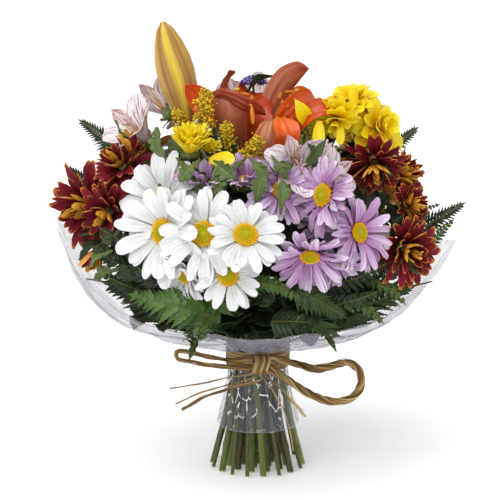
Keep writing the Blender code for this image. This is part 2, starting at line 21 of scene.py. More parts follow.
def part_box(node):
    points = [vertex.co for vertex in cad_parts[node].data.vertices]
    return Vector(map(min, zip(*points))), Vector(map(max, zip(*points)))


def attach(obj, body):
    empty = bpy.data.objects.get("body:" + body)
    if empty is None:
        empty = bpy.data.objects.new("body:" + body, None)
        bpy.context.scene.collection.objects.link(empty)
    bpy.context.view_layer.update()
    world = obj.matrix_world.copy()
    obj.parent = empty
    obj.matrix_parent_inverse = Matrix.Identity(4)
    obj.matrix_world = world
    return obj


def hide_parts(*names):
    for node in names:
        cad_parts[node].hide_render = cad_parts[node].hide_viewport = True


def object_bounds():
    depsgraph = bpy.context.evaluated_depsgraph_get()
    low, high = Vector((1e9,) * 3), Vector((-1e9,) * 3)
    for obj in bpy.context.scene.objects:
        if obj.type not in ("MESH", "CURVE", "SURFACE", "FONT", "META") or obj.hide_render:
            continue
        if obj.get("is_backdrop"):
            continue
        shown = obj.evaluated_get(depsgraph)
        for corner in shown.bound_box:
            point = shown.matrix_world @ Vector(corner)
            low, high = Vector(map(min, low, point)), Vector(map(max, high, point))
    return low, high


bl_info = {
    "name": "Hand-tied bouquet",
    "version": (1, 0, 0),
    "blender": (4, 5, 0),
    "location": "View3D > Sidebar > Bouquet",
    "description": "Petals, leaves, fronds, film and raffia for a hand-tied bouquet",
    "category": "Add Mesh",
}

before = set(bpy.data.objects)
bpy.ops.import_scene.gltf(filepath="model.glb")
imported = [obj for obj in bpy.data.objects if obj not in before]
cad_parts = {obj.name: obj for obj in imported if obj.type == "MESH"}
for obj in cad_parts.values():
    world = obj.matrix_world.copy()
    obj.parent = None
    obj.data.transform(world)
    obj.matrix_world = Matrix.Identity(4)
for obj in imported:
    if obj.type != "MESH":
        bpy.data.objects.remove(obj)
CAD_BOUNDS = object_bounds()
NODES = sorted(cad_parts)
BODY = "root"
UP = Vector((0, 0, 1))
MM = 0.001

# How far behind its eye each kind of bloom meets its twig, and how wide its flat
# eye is, both as shares of the bloom's own radius
NECKS = {"daisy": 0.34, "mum": 0.75, "trumpet": 1.75, "lily": 1.75, "bud": 5.2, "plume": 4.2, "tuft": 1.2}
EYES = {"daisy": 0.30, "mum": 0.52, "trumpet": 0.86, "lily": 0.80, "bud": 0.26, "plume": 0.30, "tuft": 0.72}
# An eye is a flat face with even corners. One that is smaller than an open bloom's is a bud's.
EYE_CORNERS = 8
EYE_UNEVENNESS = 0.02
SMALLEST_BLOOM_EYE = 0.0016
SMALLEST_EYE = 0.0009

# The heights at which the stems are single, how far they are drawn below the floor
# before they are cut, and where they fork on the way to the middle of their blooms
STEM_HEIGHTS = (0.001, 0.022, 0.045, 0.066, 0.087, 0.108)
BELOW = 0.002
FORK_SHARE = 0.50
FORK_RISE = 0.46

# How far up a stem's knot swells it, and the heights from which the stem is thinner
# and from which it has leaves
KNOT_LENGTH = 0.0026
TIE_HEIGHT = 0.11
LEAFY_HEIGHT = 0.13
FULL_TURN = 2 * pi

Bloom = namedtuple("Bloom", "eye facing radius kind")


def linear(hex_colour):
    """The linear colour of an sRGB one written as six hex digits."""
    parts = [int(hex_colour[i:i + 2], 16) / 255 for i in (0, 2, 4)]
    return (*[p / 12.92 if p <= 0.04045 else ((p + 0.055) / 1.055) ** 2.4 for p in parts], 1.0)


# What a user can change


def a_colour(name, description, default):
    """A colour that a user can change, from six hex digits."""
    return bpy.props.FloatVectorProperty(
        name=name, description=description, default=linear(default), subtype="COLOR", size=4, min=0.0, max=1.0
    )


def a_number(name, description, default, **kind):
    """A number that a user can change."""
    return bpy.props.FloatProperty(name=name, description=description, default=default, min=0.0, **kind)


a_size = partial(a_number, subtype="DISTANCE", unit="LENGTH", precision=5)
a_share = partial(a_number, subtype="FACTOR", soft_max=2.0)


def a_count(name, description, default, least, most):
    """A number of things that a user can change."""
    return bpy.props.IntProperty(name=name, description=description, default=default, min=least, max=most)


def a_group(name, kind):
    """The settings of one kind of piece."""
    return bpy.props.PointerProperty(name=name, description=kind.__doc__, type=kind)


class BOUQUET_PG_daisies(PropertyGroup):
    """The white and the lilac daisies"""

    white_petals: a_count("White petals", "How many petals a white daisy has", 27, 8, 60)
    white_reach: a_share("White reach", "How far a white petal reaches, by its bloom's radius", 1.30)
    white_width: a_share("White width", "How wide a white petal is, by its daisy's reach", 0.285)
    lilac_petals: a_count("Lilac petals", "How many petals a lilac daisy has", 34, 8, 60)
    lilac_reach: a_share("Lilac reach", "How far a lilac petal reaches, by its bloom's radius", 1.26)
    lilac_width: a_share("Lilac width", "How wide a lilac petal is, by its daisy's reach", 0.20)
    white: a_colour("White", "The middle of a white petal", "EDEDEC")
    # Painted shade: the cool grey that stands for the shadow in a white petal's grooves
    groove_shade: a_colour("Groove", "The grooves along a white petal", "C2C3CC")
    lilac: a_colour("Lilac", "The middle of a lilac petal", "DCC2E0")
    vein: a_colour("Vein", "The veins of a lilac petal", "80468C")
    disc_heart: a_colour("Disc heart", "The closed florets in the middle", "9CA618")
    disc_rim: a_colour("Disc rim", "The open florets round the edge", "F6BE0A")


class BOUQUET_PG_chrysanthemums(PropertyGroup):
    """The yellow and the crimson chrysanthemums"""

    yellow_reach: a_share("Yellow reach", "How far a yellow petal reaches, by its bloom's radius", 1.22)
    crimson_reach: a_share("Crimson reach", "How far a crimson petal reaches, by its bloom's radius", 1.34)
    yellow: a_colour("Yellow", "The middle of a yellow petal", "FBE404")
    yellow_heart: a_colour("Yellow heart", "A yellow petal's root", "E8A400")
    crimson: a_colour("Crimson", "The middle of a crimson petal", "740E22")
    crimson_tip: a_colour("Crimson tip", "A crimson petal's tip", "CC8A22")
    gold: a_colour("Gold back", "The backs of the crimson petals", "C07A16")


class BOUQUET_PG_alstroemerias(PropertyGroup):
    """The alstroemerias"""

    reach: a_number("Reach", "A petal's length by its bloom's radius", 2.25, subtype="FACTOR", soft_max=4.0)
    thickness: a_size("Thickness", "A petal's thickness", 0.0003)
    petal: a_colour("Petal", "The middle of a petal", "F8F0F1")
    throat: a_colour("Throat", "The inner petals near their roots", "ECC98A")
    streak: a_colour("Streak", "The wine-red streaks", "763A52")


class BOUQUET_PG_lilies(PropertyGroup):
    """The lilies and their bud"""

    thickness: a_size("Thickness", "A petal's thickness", 0.0006)
    petal: a_colour("Petal", "A fresh petal's inside", "E66810")
    # The brick red that a petal given a low tone darkens to
    deep_petal: a_colour("Aged petal", "What an older petal darkens to", "8E2A1C")
    back: a_colour("Back", "A petal's outside", "BE6A3A")
    furrow: a_colour("Bud furrow", "The bud's furrows", "76521E")
    rib: a_colour("Bud rib", "The bud's ribs", "E4D034")


class BOUQUET_PG_fillers(PropertyGroup):
    """The goldenrod and the statice"""

    floret: a_size("Floret", "A goldenrod floret's usual radius", 0.00071)
    goldenrod: a_colour("Goldenrod", "The middle tone of its florets", "CBA51C")
    statice: a_colour("Statice", "The middle tone of its papery cups", "6450A0")


class BOUQUET_PG_foliage(PropertyGroup):
    """The leaves, the fern fronds and the stems"""

    leaf_length: a_size("Leaf length", "A leaf's usual length on a twig", 0.036)
    leaf_width: a_size("Leaf width", "A leaf's usual width on a twig", 0.022)
    stem_radius: a_size("Stem radius", "The usual radius of a spray's stem", 0.0028)
    leaf: a_colour("Leaf", "The middle of a leaf", "56692F")
    leaf_vein: a_colour("Leaf vein", "The veins of a leaf", "82945A")
    fern: a_colour("Fern", "The middle of a fern's leaflet", "305214")
    # The colour of the painted shade on the leaflets deep in the bunch
    fern_shade: a_colour("Fern shade", "What the older leaflets darken to", "14240C")
    stem: a_colour("Stem", "The middle tone of the stems", "52661E")


class BOUQUET_PG_film(PropertyGroup):
    """The clear film"""

    thickness: a_size("Thickness", "The film's thickness", 0.00012)
    crease: a_size("Crease depth", "How far the collar's facets stand from each other", 0.0034)
    haze: a_share("Haze", "How hazy the clearest film is", 0.11)
    tint: a_colour("Tint", "The haze's colour", "A09CB0")


class BOUQUET_PG_raffia(PropertyGroup):
    """The raffia bow"""

    left_strands: a_count("Left strands", "Strands in the left loop", 14, 4, 30)
    right_strands: a_count("Right strands", "Strands in the right loop", 25, 4, 30)
    straw: a_colour("Straw", "The middle tone of the strands", "A48250")
    rib: a_colour("Rib", "The dark ribs along a strand", "553B1E")


class BOUQUET_PG_stage(PropertyGroup):
    """The floor, the lights and the camera"""

    lens: a_number("Lens", "The camera's focal length", 135.5, unit="CAMERA")
    distance: a_size("Distance", "From the camera to the bouquet's middle", 1.6)
    elevation: a_number("Elevation", "How far the camera looks down", radians(11), subtype="ANGLE")
    sun: a_number("Overhead light", "The soft light above", 1.7)
    sun_spread: a_number("Overhead spread", "How wide the soft light is", radians(65), subtype="ANGLE")
    room: a_number("Room light", "The light of the room", 0.58)
    floor: a_colour("Floor", "The floor's colour", "FDFDFD")
    floor_glow: a_number("Floor glow", "How much the lit board's white adds", 0.21)


class BOUQUET_PG_settings(PropertyGroup):
    """All that a user can change, by kind of piece"""

    daisies: a_group("Daisies", BOUQUET_PG_daisies)
    chrysanthemums: a_group("Chrysanthemums", BOUQUET_PG_chrysanthemums)
    alstroemerias: a_group("Alstroemerias", BOUQUET_PG_alstroemerias)
    lilies: a_group("Lilies", BOUQUET_PG_lilies)
    fillers: a_group("Goldenrod and statice", BOUQUET_PG_fillers)
    foliage: a_group("Foliage", BOUQUET_PG_foliage)
    film: a_group("Clear film", BOUQUET_PG_film)
    raffia: a_group("Raffia bow", BOUQUET_PG_raffia)
    stage: a_group("Stage", BOUQUET_PG_stage)


def chosen():
    """The settings as the user has left them."""
    return bpy.context.scene.bouquet


# Reading the packed solids


def merged_copy(name):
    """A welded copy of a node's mesh, with its flat faces whole."""
    bm = bmesh.new()
    bm.from_mesh(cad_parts[name].data)
    bmesh.ops.remove_doubles(bm, verts=bm.verts, dist=1e-6)
    bmesh.ops.dissolve_limit(bm, angle_limit=radians(0.1), verts=bm.verts, edges=bm.edges)
    return bm


def nodes_called(*starts):
    return [name for name in NODES if name.startswith(starts)]


def kind_of(name, eye_radius):
    if eye_radius < SMALLEST_BLOOM_EYE and not name.startswith("goldenrod"):
        return "bud"
    for word, kind in (
        ("daisy", "daisy"), ("chrysanthemum", "mum"), ("alstroemeria", "trumpet"), ("lily_bud", "bud"),
        ("lily", "lily"), ("goldenrod", "plume"), ("statice", "tuft"),
    ):
        if word in name:
            return kind
    raise ValueError(f"no kind of bloom is known for {name}")


def blooms_of(name):
    """The blooms on a node, from the flat eight-sided eye of each, highest first."""
    bm = merged_copy(name)
    blooms = []
    for face in bm.faces:
        middle = face.calc_center_median()
        reach = [(vert.co - middle).length for vert in face.verts]
        even = len(reach) == EYE_CORNERS and max(reach) - min(reach) < EYE_UNEVENNESS * max(reach)
        if even and middle.z > STEM_HEIGHTS[-1] and max(reach) > SMALLEST_EYE:
            kind = kind_of(name, reach[0])
            blooms.append(Bloom(middle, face.normal.normalized(), reach[0] / EYES[kind], kind))
    bm.free()
    if not blooms:
        raise ValueError(f"{name} has no eye to build a bloom on")
    return sorted(blooms, key=lambda bloom: -bloom.eye.z)


def crossings(bm, way, distance, above=-1.0):
    """Where the mesh's edges cross the plane at this distance along a direction."""
    spots = []
    for edge in bm.edges:
        near, far = (vert.co for vert in edge.verts)
        a, b = near.dot(way) - distance, far.dot(way) - distance
        if a * b < 0 and min(near.z, far.z) > above:
            spots.append(near.lerp(far, a / (a - b)))
    return spots


def middle_of(spots):
    return sum(spots, Vector()) / len(spots)


def lower_path(bm):
    """The line of a stem from its cut end up through the tie."""
    path = [middle_of(crossings(bm, UP, height)) for height in STEM_HEIGHTS]
    foot = path[0] - (path[1] - path[0]) * ((path[0].z + BELOW) / (path[1].z - path[0].z))
    return [foot] + path[1:]


# Drawing surfaces

# The angle between two faces from which their edge is sharp, and how thick leaves and small petals are
SHARP_ANGLE = 1.1
LEAF_THICKNESS = 0.0004
PETAL_THICKNESS = 0.0003


def square_to(way, along):
    """The part of one direction that is square to another."""
    return (way - along * along.dot(way)).normalized()


def axes_of(facing):
    """The right and the upper side of something that faces this way."""
    right = UP.cross(facing)
    if right.length < 0.05:
        right = Vector((1, 0, 0))
    right = square_to(right, facing)
    return right, facing.cross(right)


def spoke(facing, angle):
    """The direction at an angle round something that faces this way."""
    right, up = axes_of(facing)
    return right * cos(angle) + up * sin(angle)


def blend_along(points, share):
    """A value read at a share of the way along pairs of (share, value)."""
    for (start, low), (end, high) in zip(points, points[1:]):
        if share <= end:
            return low + (high - low) * (share - start) / (end - start)
    return points[-1][1]


def smooth_route(route, spacing):
    """Evenly close points on the smooth curve through a route's own points."""
    ends = [2 * route[0] - route[1]] + list(route) + [2 * route[-1] - route[-2]]
    points = [route[0]]
    for before, near, far, after in zip(ends, ends[1:], ends[2:], ends[3:]):
        steps = max(1, round((far - near).length / spacing))
        for i in range(1, steps + 1):
            t = i / steps
            slope = (far - before) * t
            square = (2 * before - 5 * near + 4 * far - after) * t**2
            cube = (3 * near - before - 3 * far + after) * t**3
            points.append(0.5 * (2 * near + slope + square + cube))
    return points


def arc(start, out_of, end, into, steps):
    """Points along the curve that leaves one place and enters another along the given vectors."""
    points = []
    for i in range(steps + 1):
        t = i / steps
        s = 1 - t
        near = start + out_of
        far = end - into
        points.append(s**3 * start + 3 * s * s * t * near + 3 * s * t * t * far + t**3 * end)
    return points


def length_of(path):
    return sum((far - near).length for near, far in zip(path, path[1:]))


def distances_along(path):
    """How far along a path each of its points is."""
    return list(accumulate(((far - near).length for near, far in zip(path, path[1:])), initial=0.0))


def at_distance(path, lengths, distance):
    """The step of a path that is this far along it, and the place there."""
    i = min(max(j for j, length in enumerate(lengths) if length <= distance + 1e-9), len(path) - 2)
    share = (distance - lengths[i]) / (lengths[i + 1] - lengths[i])
    return i, path[i].lerp(path[i + 1], min(1.0, share))


def frames_along(path, hint):
    """A place, a way on, and two cross directions at each point of a path, turning as little as possible."""
    frames = []
    across = hint
    for i, spot in enumerate(path):
        along = (path[min(i + 1, len(path) - 1)] - path[max(i - 1, 0)]).normalized()
        across = square_to(across, along)
        frames.append((spot, along, across, along.cross(across)))
    return frames


class Shape(namedtuple(
    "Shape", "length half outline cup tip sweep ridge ridges ruffle teeth tooth lobed fold",
    defaults=(0.0, 0.0, 0.0, 0.0, 2, 0.0, 0, 0.4, False, 0.0),
)):
    """A blade's shape: its length and half width, its outline, and what shapes the surface between.

    cup lifts its edges, tip rounds its end, sweep draws its edges forward, ridge and ruffle are in metres,
    and teeth cuts its edges, by the share that tooth gives. fold lifts its two halves from the midrib.
    """

    def bite(self, share):
        """How full its edge is here: it drops at each sharp tooth, or swings between rounded lobes."""
        if not self.teeth:
            return 1.0
        if self.lobed:
            return 0.75 * abs(sin(pi * share * self.teeth)) ** 0.6 + 0.25 * ((share * 3 * self.teeth) % 1)
        return (share * self.teeth) % 1


class Draft:
    """A mesh being drawn, with a UV map and a tone for each of the things in it."""

    def __init__(self):
        self.bm = bmesh.new()
        self.bm.loops.layers.uv.new("UVMap")
        self.tone = self.bm.verts.layers.float.new("tone")

    def grid(self, columns, rows, place, tone):
        """A sheet of faces whose corners lie where place(u, v) says, with u and v from 0 to 1."""
        verts = bmesh.ops.create_grid(
            self.bm, x_segments=columns, y_segments=rows, size=0.5, calc_uvs=True
        )["verts"]
        for vert in verts:
            u, v = vert.co.x + 0.5, vert.co.y + 0.5
            vert.co = place(u, v)
            vert[self.tone] = tone(u, v) if callable(tone) else tone

    def petal(
        self, root, out, facing, length, width, outline, rise=0.0, curl=0.0, bend=1.0, twist=0.0, sag=0.0,
        columns=6, rows=10, tone=0.5, **shaping,
    ):
        """A blade from its root: it rises from `out` towards `facing` in degrees, and curls as it goes.

        bend holds the curl back towards the tip, twist turns the blade round its own line, and sag is how far
        its end hangs, as a share. The rest of what shapes it is a Shape's.
        """
        side = out.cross(facing)
        step = length / rows
        spot = root.copy()
        lines = []
        for j in range(rows + 1):
            v = j / rows
            angle = radians(rise + curl * v**bend)
            along = out * cos(angle) + facing * sin(angle)
            above = facing * cos(angle) - out * sin(angle)
            roll = radians(twist) * v
            across = side * cos(roll) + above * sin(roll)
            above = above * cos(roll) - side * sin(roll)
            lines.append((spot - UP * (sag * length * v * v), along, across, above))
            spot = spot + along * step
        self.sheet(lines, Shape(length, width / 2, outline, **shaping), columns, tone)

    def sheet(self, lines, shape, columns, tone):
        """A blade of this shape laid across lines of a spot and its way on, its way across and its face."""
        rows = len(lines) - 1
        bite = [shape.bite(v / rows) for v in range(rows + 1)]

        def place(u, v):
            spot, along, across, above = lines[round(v * rows)]
            x = 2 * u - 1
            saw = bite[round(v * rows)]
            half = shape.half * blend_along(shape.outline, v) * (1 - shape.tooth * (1 - saw))
            lift = shape.cup * half * x * x + shape.ruffle * sin(9.0 * v + 3.0 * x) * abs(x)
            lift += shape.ridge * cos(shape.ridges * pi * x) * sin(pi * min(v * 1.3, 1.0))
            lift += (0.10 * (saw - 1) + shape.fold) * half * abs(x)
            swept = shape.sweep * abs(x) * sin(pi * min(1.0, v * 1.1 + 0.08))
            forward = shape.length * (swept - shape.tip * (1 - sqrt(1 - 0.97 * x * x)) * v**5)
            return spot + across * (half * x) + above * lift + along * forward

        self.grid(columns, rows, place, tone)

    def blade(self, route, shape, across, columns, rows, tone):
        """A blade that follows a route, with its face on the side of across x along."""
        path = smooth_route(route, length_of(route) / rows)
        frames = frames_along(path, across)
        lines = [(spot, along, wide, wide.cross(along)) for spot, along, wide, _ in frames]
        self.sheet(lines, shape._replace(length=length_of(path)), columns, tone)

    def tube(self, path, radii, sides, tone, hint=None, flat=1.0, twist=0.0):
        """A closed tube along a path, with one radius or a list of them.

        flat squashes it across, and twist turns it, in degrees for a metre.
        """
        if not isinstance(radii, list):
            radii = [radii] * len(path)
        hint = hint or axes_of((path[1] - path[0]).normalized())[0]
        frames = frames_along(path, hint)
        rows = len(path) - 1

        def place(u, v):
            i = round(v * rows)
            spot, _, across, above = frames[i]
            turn = radians(twist) * i * (path[1] - path[0]).length
            a, b = cos(FULL_TURN * u), -flat * sin(FULL_TURN * u)
            x = a * cos(turn) - b * sin(turn)
            y = a * sin(turn) + b * cos(turn)
            return spot + (across * x + above * y) * radii[i]

        self.grid(sides, rows, place, tone)

    def turned(self, base, way, profile, scale, sides, tone, flute=0.0, flutes=6):
        """A closed turned form: pairs of distance along `way` and radius, which flutes can make wavy."""
        across, above = axes_of(way)
        rows = len(profile) - 1

        def place(u, v):
            along, radius = (value * scale for value in profile[round(v * rows)])
            radius *= 1 + flute * cos(FULL_TURN * flutes * u)
            turn = FULL_TURN * u
            return base + way * along + (across * cos(turn) - above * sin(turn)) * radius

        self.grid(sides, rows, place, tone)

    def bead(self, centre, way, radius, stretch, tone):
        """A small faceted ball, stretched along `way`."""
        across, above = axes_of(way)
        turn = Matrix((across, above, way)).transposed().to_4x4()
        matrix = Matrix.Translation(centre) @ turn @ Matrix.Diagonal((radius, radius, radius * stretch, 1))
        for vert in bmesh.ops.create_icosphere(self.bm, subdivisions=1, radius=1.0, matrix=matrix)["verts"]:
            vert[self.tone] = tone

    def cut_flat(self):
        """Cuts off what is below the surface that the stems stand on."""
        everything = [*self.bm.verts, *self.bm.edges, *self.bm.faces]
        bmesh.ops.bisect_plane(
            self.bm, geom=everything, dist=1e-7, plane_co=(0, 0, 0), plane_no=(0, 0, 1), clear_inner=True
        )

    def finish(self, node, what, finishes, thickness=0.0):
        """Makes the draft a piece that stands for a node. A thickness gives its sheets a back.

        The back takes the last of the finishes.
        """
        bm = self.bm
        bmesh.ops.remove_doubles(bm, verts=bm.verts, dist=1e-6)
        if not thickness:
            bmesh.ops.holes_fill(bm, edges=[edge for edge in bm.edges if edge.is_boundary], sides=0)
            bmesh.ops.recalc_face_normals(bm, faces=bm.faces)
        for face in bm.faces:
            face.smooth = True
        for edge in bm.edges:
            if edge.is_boundary or (edge.is_manifold and edge.calc_face_angle() > SHARP_ANGLE):
                edge.smooth = False
        mesh = bpy.data.meshes.new(f"{node}.{what}")
        bm.to_mesh(mesh)
        bm.free()
        for key in finishes:
            mesh.materials.append(finish_of(key))
        obj = add_object(mesh.name, mesh)
        if thickness:
            skin = obj.modifiers.new("Thickness", "SOLIDIFY")
            skin.thickness = thickness
            skin.offset = -1.0
            skin.material_offset = len(finishes) - 1
            skin.material_offset_rim = 0
        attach(obj, BODY)
        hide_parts(node)
        return obj


def add_object(name, data):
    """A new object of the scene that shows this data."""
    obj = bpy.data.objects.new(name, data)
    bpy.context.scene.collection.objects.link(obj)
    return obj


def finish_greens(name, greens, leaves):
    """Makes a node's stem and leaves."""
    greens.finish(name, "stem", ["stem"])
    leaves.finish(name, "leaves", ["leaf"], LEAF_THICKNESS)


# Materials

# Where a mix's two colours go in and its result comes out. The other sockets that are
# given by number are in order: a value, and for a map range the least and the most that
# it comes from and that it goes to.
MIX_A, MIX_B, MIX_RESULT = 6, 7, 2


def fill(node, inputs):
    """Gives a node's inputs their values, links or colours. A colour is six hex digits or a setting."""
    for key, value in dict(inputs).items():
        if isinstance(value, bpy.types.Node):
            value = value.outputs[0]
        if isinstance(value, bpy.types.NodeSocket):
            node.id_data.links.new(value, node.inputs[key])
        else:
            node.inputs[key].default_value = linear(value) if isinstance(value, str) else value


def add_node(tree, kind, inputs=(), stops=(), **settings):
    """Adds a node with its settings, its inputs and the stops of its colour ramp."""
    node = tree.nodes.new("ShaderNode" + kind)
    for name, value in settings.items():
        setattr(node, name, value)
    fill(node, inputs)
    for number, (position, colour) in enumerate(stops):
        elements = node.color_ramp.elements
        element = elements[number] if number < 2 else elements.new(position)
        element.position = position
        element.color = linear(colour) if isinstance(colour, str) else colour
    return node


def start_material(name):
    """A new material, the function that adds nodes to it, and its shader."""
    material = bpy.data.materials.new(name)
    material.use_nodes = True
    tree = material.node_tree
    return material, partial(add_node, tree), tree.nodes["Principled BSDF"]


def grown(
    name, stops, vein, vein_share, fibres, translucence, tone_range, roughness=0.5, bump=0.25,
    length_scale=1.2, specular=0.4, shade=None, shade_share=0.6, side_veins=0, sharp=(0.42, 0.68),
):
    """Tissue that has grown lengthwise: a colour along it, veins that run the same way, and its own tone.

    fibres is how many veins cross it, length_scale how broken they are along it, and sharp how crisp.
    shade is the colour of the darker ones, and side_veins how many pale veins leave a midrib.
    """
    material, add, shader = start_material(name)
    uv = add("UVMap", uv_map="UVMap")
    tone = add("Attribute", attribute_name="tone").outputs["Fac"]
    split = add("SeparateXYZ", {0: uv})
    along = add("ValToRGB", {0: split.outputs[1]}, stops)
    stretched = add("Mapping", {"Vector": uv, "Scale": (fibres, length_scale, 1.0)})
    seed = add("Math", {0: tone, 1: 37.0}, operation="MULTIPLY")
    streaks = add(
        "TexNoise", {"Vector": stretched, "W": seed, "Scale": 1.0, "Detail": 2.0}, noise_dimensions="4D"
    )
    height = streaks
    veins = add("MapRange", {0: streaks, 1: sharp[0], 2: sharp[1], 3: 0.0, 4: vein_share})
    if side_veins:
        aside = add("Math", {0: split.outputs[0], 1: 0.5}, operation="SUBTRACT")
        away = add("Math", {0: aside}, operation="ABSOLUTE")
        run = add("Math", {0: split.outputs[1], 1: float(side_veins)}, operation="MULTIPLY")
        slant = add("Math", {0: away, 1: -2.2, 2: run}, operation="MULTIPLY_ADD")
        near = add("Math", {0: slant, 1: 0.5}, operation="PINGPONG")
        side = add("MapRange", {0: near, 1: 0.0, 2: 0.13, 3: 0.65, 4: 0.0})
        middle = add("MapRange", {0: away, 1: 0.01, 2: 0.055, 3: 1.0, 4: 0.0})
        drawn = add("Math", {0: side, 1: middle}, operation="MAXIMUM")
        veins = add("Math", {0: drawn, 1: veins}, operation="MAXIMUM")
        height = add("Math", {0: drawn, 1: -1.5, 2: streaks}, operation="MULTIPLY_ADD")
    colour = add("Mix", {0: veins, MIX_A: along, MIX_B: vein}, data_type="RGBA").outputs[MIX_RESULT]
    if shade is not None:
        deep = add("MapRange", {0: tone, 3: shade_share, 4: 0.0})
        colour = add("Mix", {0: deep, MIX_A: colour, MIX_B: shade}, data_type="RGBA").outputs[MIX_RESULT]
    level = add("MapRange", {0: tone, 3: tone_range[0], 4: tone_range[1]})
    relief = add("Bump", {"Strength": bump, "Distance": 0.0004, "Height": height})
    fill(shader, {
        "Base Color": add("HueSaturation", {"Value": level, "Color": colour}), "Normal": relief,
        "Roughness": roughness, "Specular IOR Level": specular, "Subsurface Weight": translucence,
        "Subsurface Radius": (1.0, 0.8, 0.6), "Subsurface Scale": 0.002,
    })
    return material


def by_tone(name, stops, roughness, speckle, specular=0.3, translucence=0.0):
    """A finish whose colour follows each small thing's own tone, with fine mottling."""
    material, add, shader = start_material(name)
    tone = add("Attribute", attribute_name="tone").outputs["Fac"]
    ramp = add("ValToRGB", {0: tone}, stops)
    place = add("TexCoord").outputs["Object"]
    mottle = add("TexNoise", {"Vector": place, "Scale": 900.0, "Detail": 2.0})
    level = add("MapRange", {0: mottle, 3: 1 - speckle, 4: 1 + speckle})
    fill(shader, {
        "Base Color": add("HueSaturation", {"Value": level, "Color": ramp}), "Roughness": roughness,
        "Specular IOR Level": specular, "Subsurface Weight": translucence, "Subsurface Scale": 0.002,
    })
    return material


def white_ray():
    # Thin and softly see-through, greenish grey at the root, partly its own colour and partly painted shade
    # by the disc, with cool grey painted in the grooves as their shade
    look = chosen().daisies
    stops = ((0, "C8CC9E"), (0.14, "E0E1D8"), (0.5, look.white), (1, "F3F3F3"))
    return grown(
        "white_ray_petal", stops, look.groove_shade, vein_share=0.5, fibres=10, translucence=0.2, bump=0.55,
        tone_range=(0.90, 1.02), length_scale=0.6, sharp=(0.47, 0.66),
    )


def lilac_ray():
    # Lilac that pales towards the tip, deep at the root as painted shade by the disc, with fine violet veins,
    # and deeper pink where it is young
    look = chosen().daisies
    stops = ((0, "8A5490"), (0.22, "BE92C2"), (0.6, look.lilac), (1, "F2E6F4"))
    return grown(
        "lilac_ray_petal", stops, look.vein, vein_share=0.9, fibres=15, translucence=0.15, bump=0.7,
        tone_range=(0.86, 1.06), length_scale=0.4, shade="B06AAC", sharp=(0.50, 0.64),
    )


def yellow_ray():
    # Clear waxy yellow that turns golden in the heart
    look = chosen().chrysanthemums
    stops = ((0, look.yellow_heart), (0.2, "FACE00"), (0.6, look.yellow), (1, "FFEE2C"))
    return grown(
        "yellow_ray_petal", stops, "E6AC00", vein_share=0.4, fibres=8, translucence=0.35, roughness=0.42,
        bump=0.5, tone_range=(0.94, 1.06), length_scale=0.7, shade="F4BC00", shade_share=0.3,
    )


def crimson_ray():
    # Velvet: deep crimson that lifts to red towards the tip, painted light standing for where it is lit
    look = chosen().chrysanthemums
    stops = ((0, "4A0614"), (0.5, look.crimson), (0.90, "861428"), (1, look.crimson_tip))
    return grown(
        "crimson_velvet_petal", stops, "38040E", vein_share=0.5, fibres=8, translucence=0.0, roughness=0.65,
        tone_range=(0.7, 1.25), length_scale=0.6, specular=0.25,
    )


def gold_back():
    # The same petals' dull gold backs, streaked with red
    stops = ((0, "7A1C0A"), (0.3, chosen().chrysanthemums.gold), (1, "EDB83A"))
    return grown(
        "gold_petal_back", stops, "96240E", vein_share=0.6, fibres=7, translucence=0.05,
        tone_range=(0.8, 1.15), length_scale=0.5,
    )


def alstroemeria_face():
    # Thin pink-white tissue, streaked finely with wine red
    look = chosen().alstroemerias
    stops = ((0, "C43C64"), (0.14, "E8B4C2"), (0.36, look.petal), (1, "F4E8EC"))
    return grown(
        "alstroemeria_petal", stops, look.streak, vein_share=0.9, fibres=24, translucence=0.2,
        roughness=0.45, bump=0.4, tone_range=(0.97, 1.05), length_scale=2.4, shade="E0C0CA", shade_share=0.3,
        sharp=(0.53, 0.60),
    )


def alstroemeria_streaked():
    # The inner petals: yellow throats and dashes of wine red
    stops = ((0, "C8604A"), (0.3, chosen().alstroemerias.throat), (0.65, "F3E4DC"), (1, "E3BCC6"))
    return grown(
        "alstroemeria_streaked_petal", stops, "6E1830", vein_share=0.95, fibres=15, translucence=0.2,
        roughness=0.45, tone_range=(0.92, 1.05), length_scale=5.0,
    )


def lily_face():
    # Waxy orange that deepens to brick red in the petals given a low tone
    look = chosen().lilies
    stops = ((0, "E88A18"), (0.25, look.petal), (0.8, "E25414"), (1, "D6481C"))
    return grown(
        "lily_petal", stops, "C8440A", vein_share=0.6, fibres=8, translucence=0.2, roughness=0.36, bump=0.5,
        tone_range=(0.82, 1.06), length_scale=0.5, specular=0.5, shade=look.deep_petal, shade_share=0.95,
    )


def lily_back():
    # The outside of a lily's petal: duller, brownish, with long pale ribs
    stops = ((0, "A06A38"), (0.25, chosen().lilies.back), (0.8, "BC5836"), (1, "9C4030"))
    return grown(
        "lily_petal_back", stops, "D0A078", vein_share=0.55, fibres=6, translucence=0.15, roughness=0.4,
        bump=0.7, tone_range=(0.85, 1.06), length_scale=0.3, specular=0.5, shade="8E3A22", shade_share=0.85,
    )


def lily_parts():
    # Rusty pollen on the anthers, orange filaments and a green-tipped pistil
    stops = ((0, "7A2E0C"), (0.4, "A8480E"), (0.8, "E88A24"), (1, "B9C04A"))
    return by_tone("lily_stamens", stops, roughness=0.6, speckle=0.2)


def bud_skin():
    # A closed lily bud: waxy yellow-orange ribs with brown in the furrows
    look = chosen().lilies
    stops = ((0, look.furrow), (0.35, "A87C36"), (0.7, "CBA044"), (1, look.rib))
    return by_tone("lily_bud_skin", stops, roughness=0.4, speckle=0.05, specular=0.5, translucence=0.15)


def disc_florets():
    # Packed florets: green buds in the middle, open golden ones round the edge
    look = chosen().daisies
    stops = ((0, look.disc_heart), (0.4, "C4B412"), (0.75, "EDB800"), (1, look.disc_rim))
    return by_tone("disc_florets", stops, roughness=0.7, speckle=0.25)


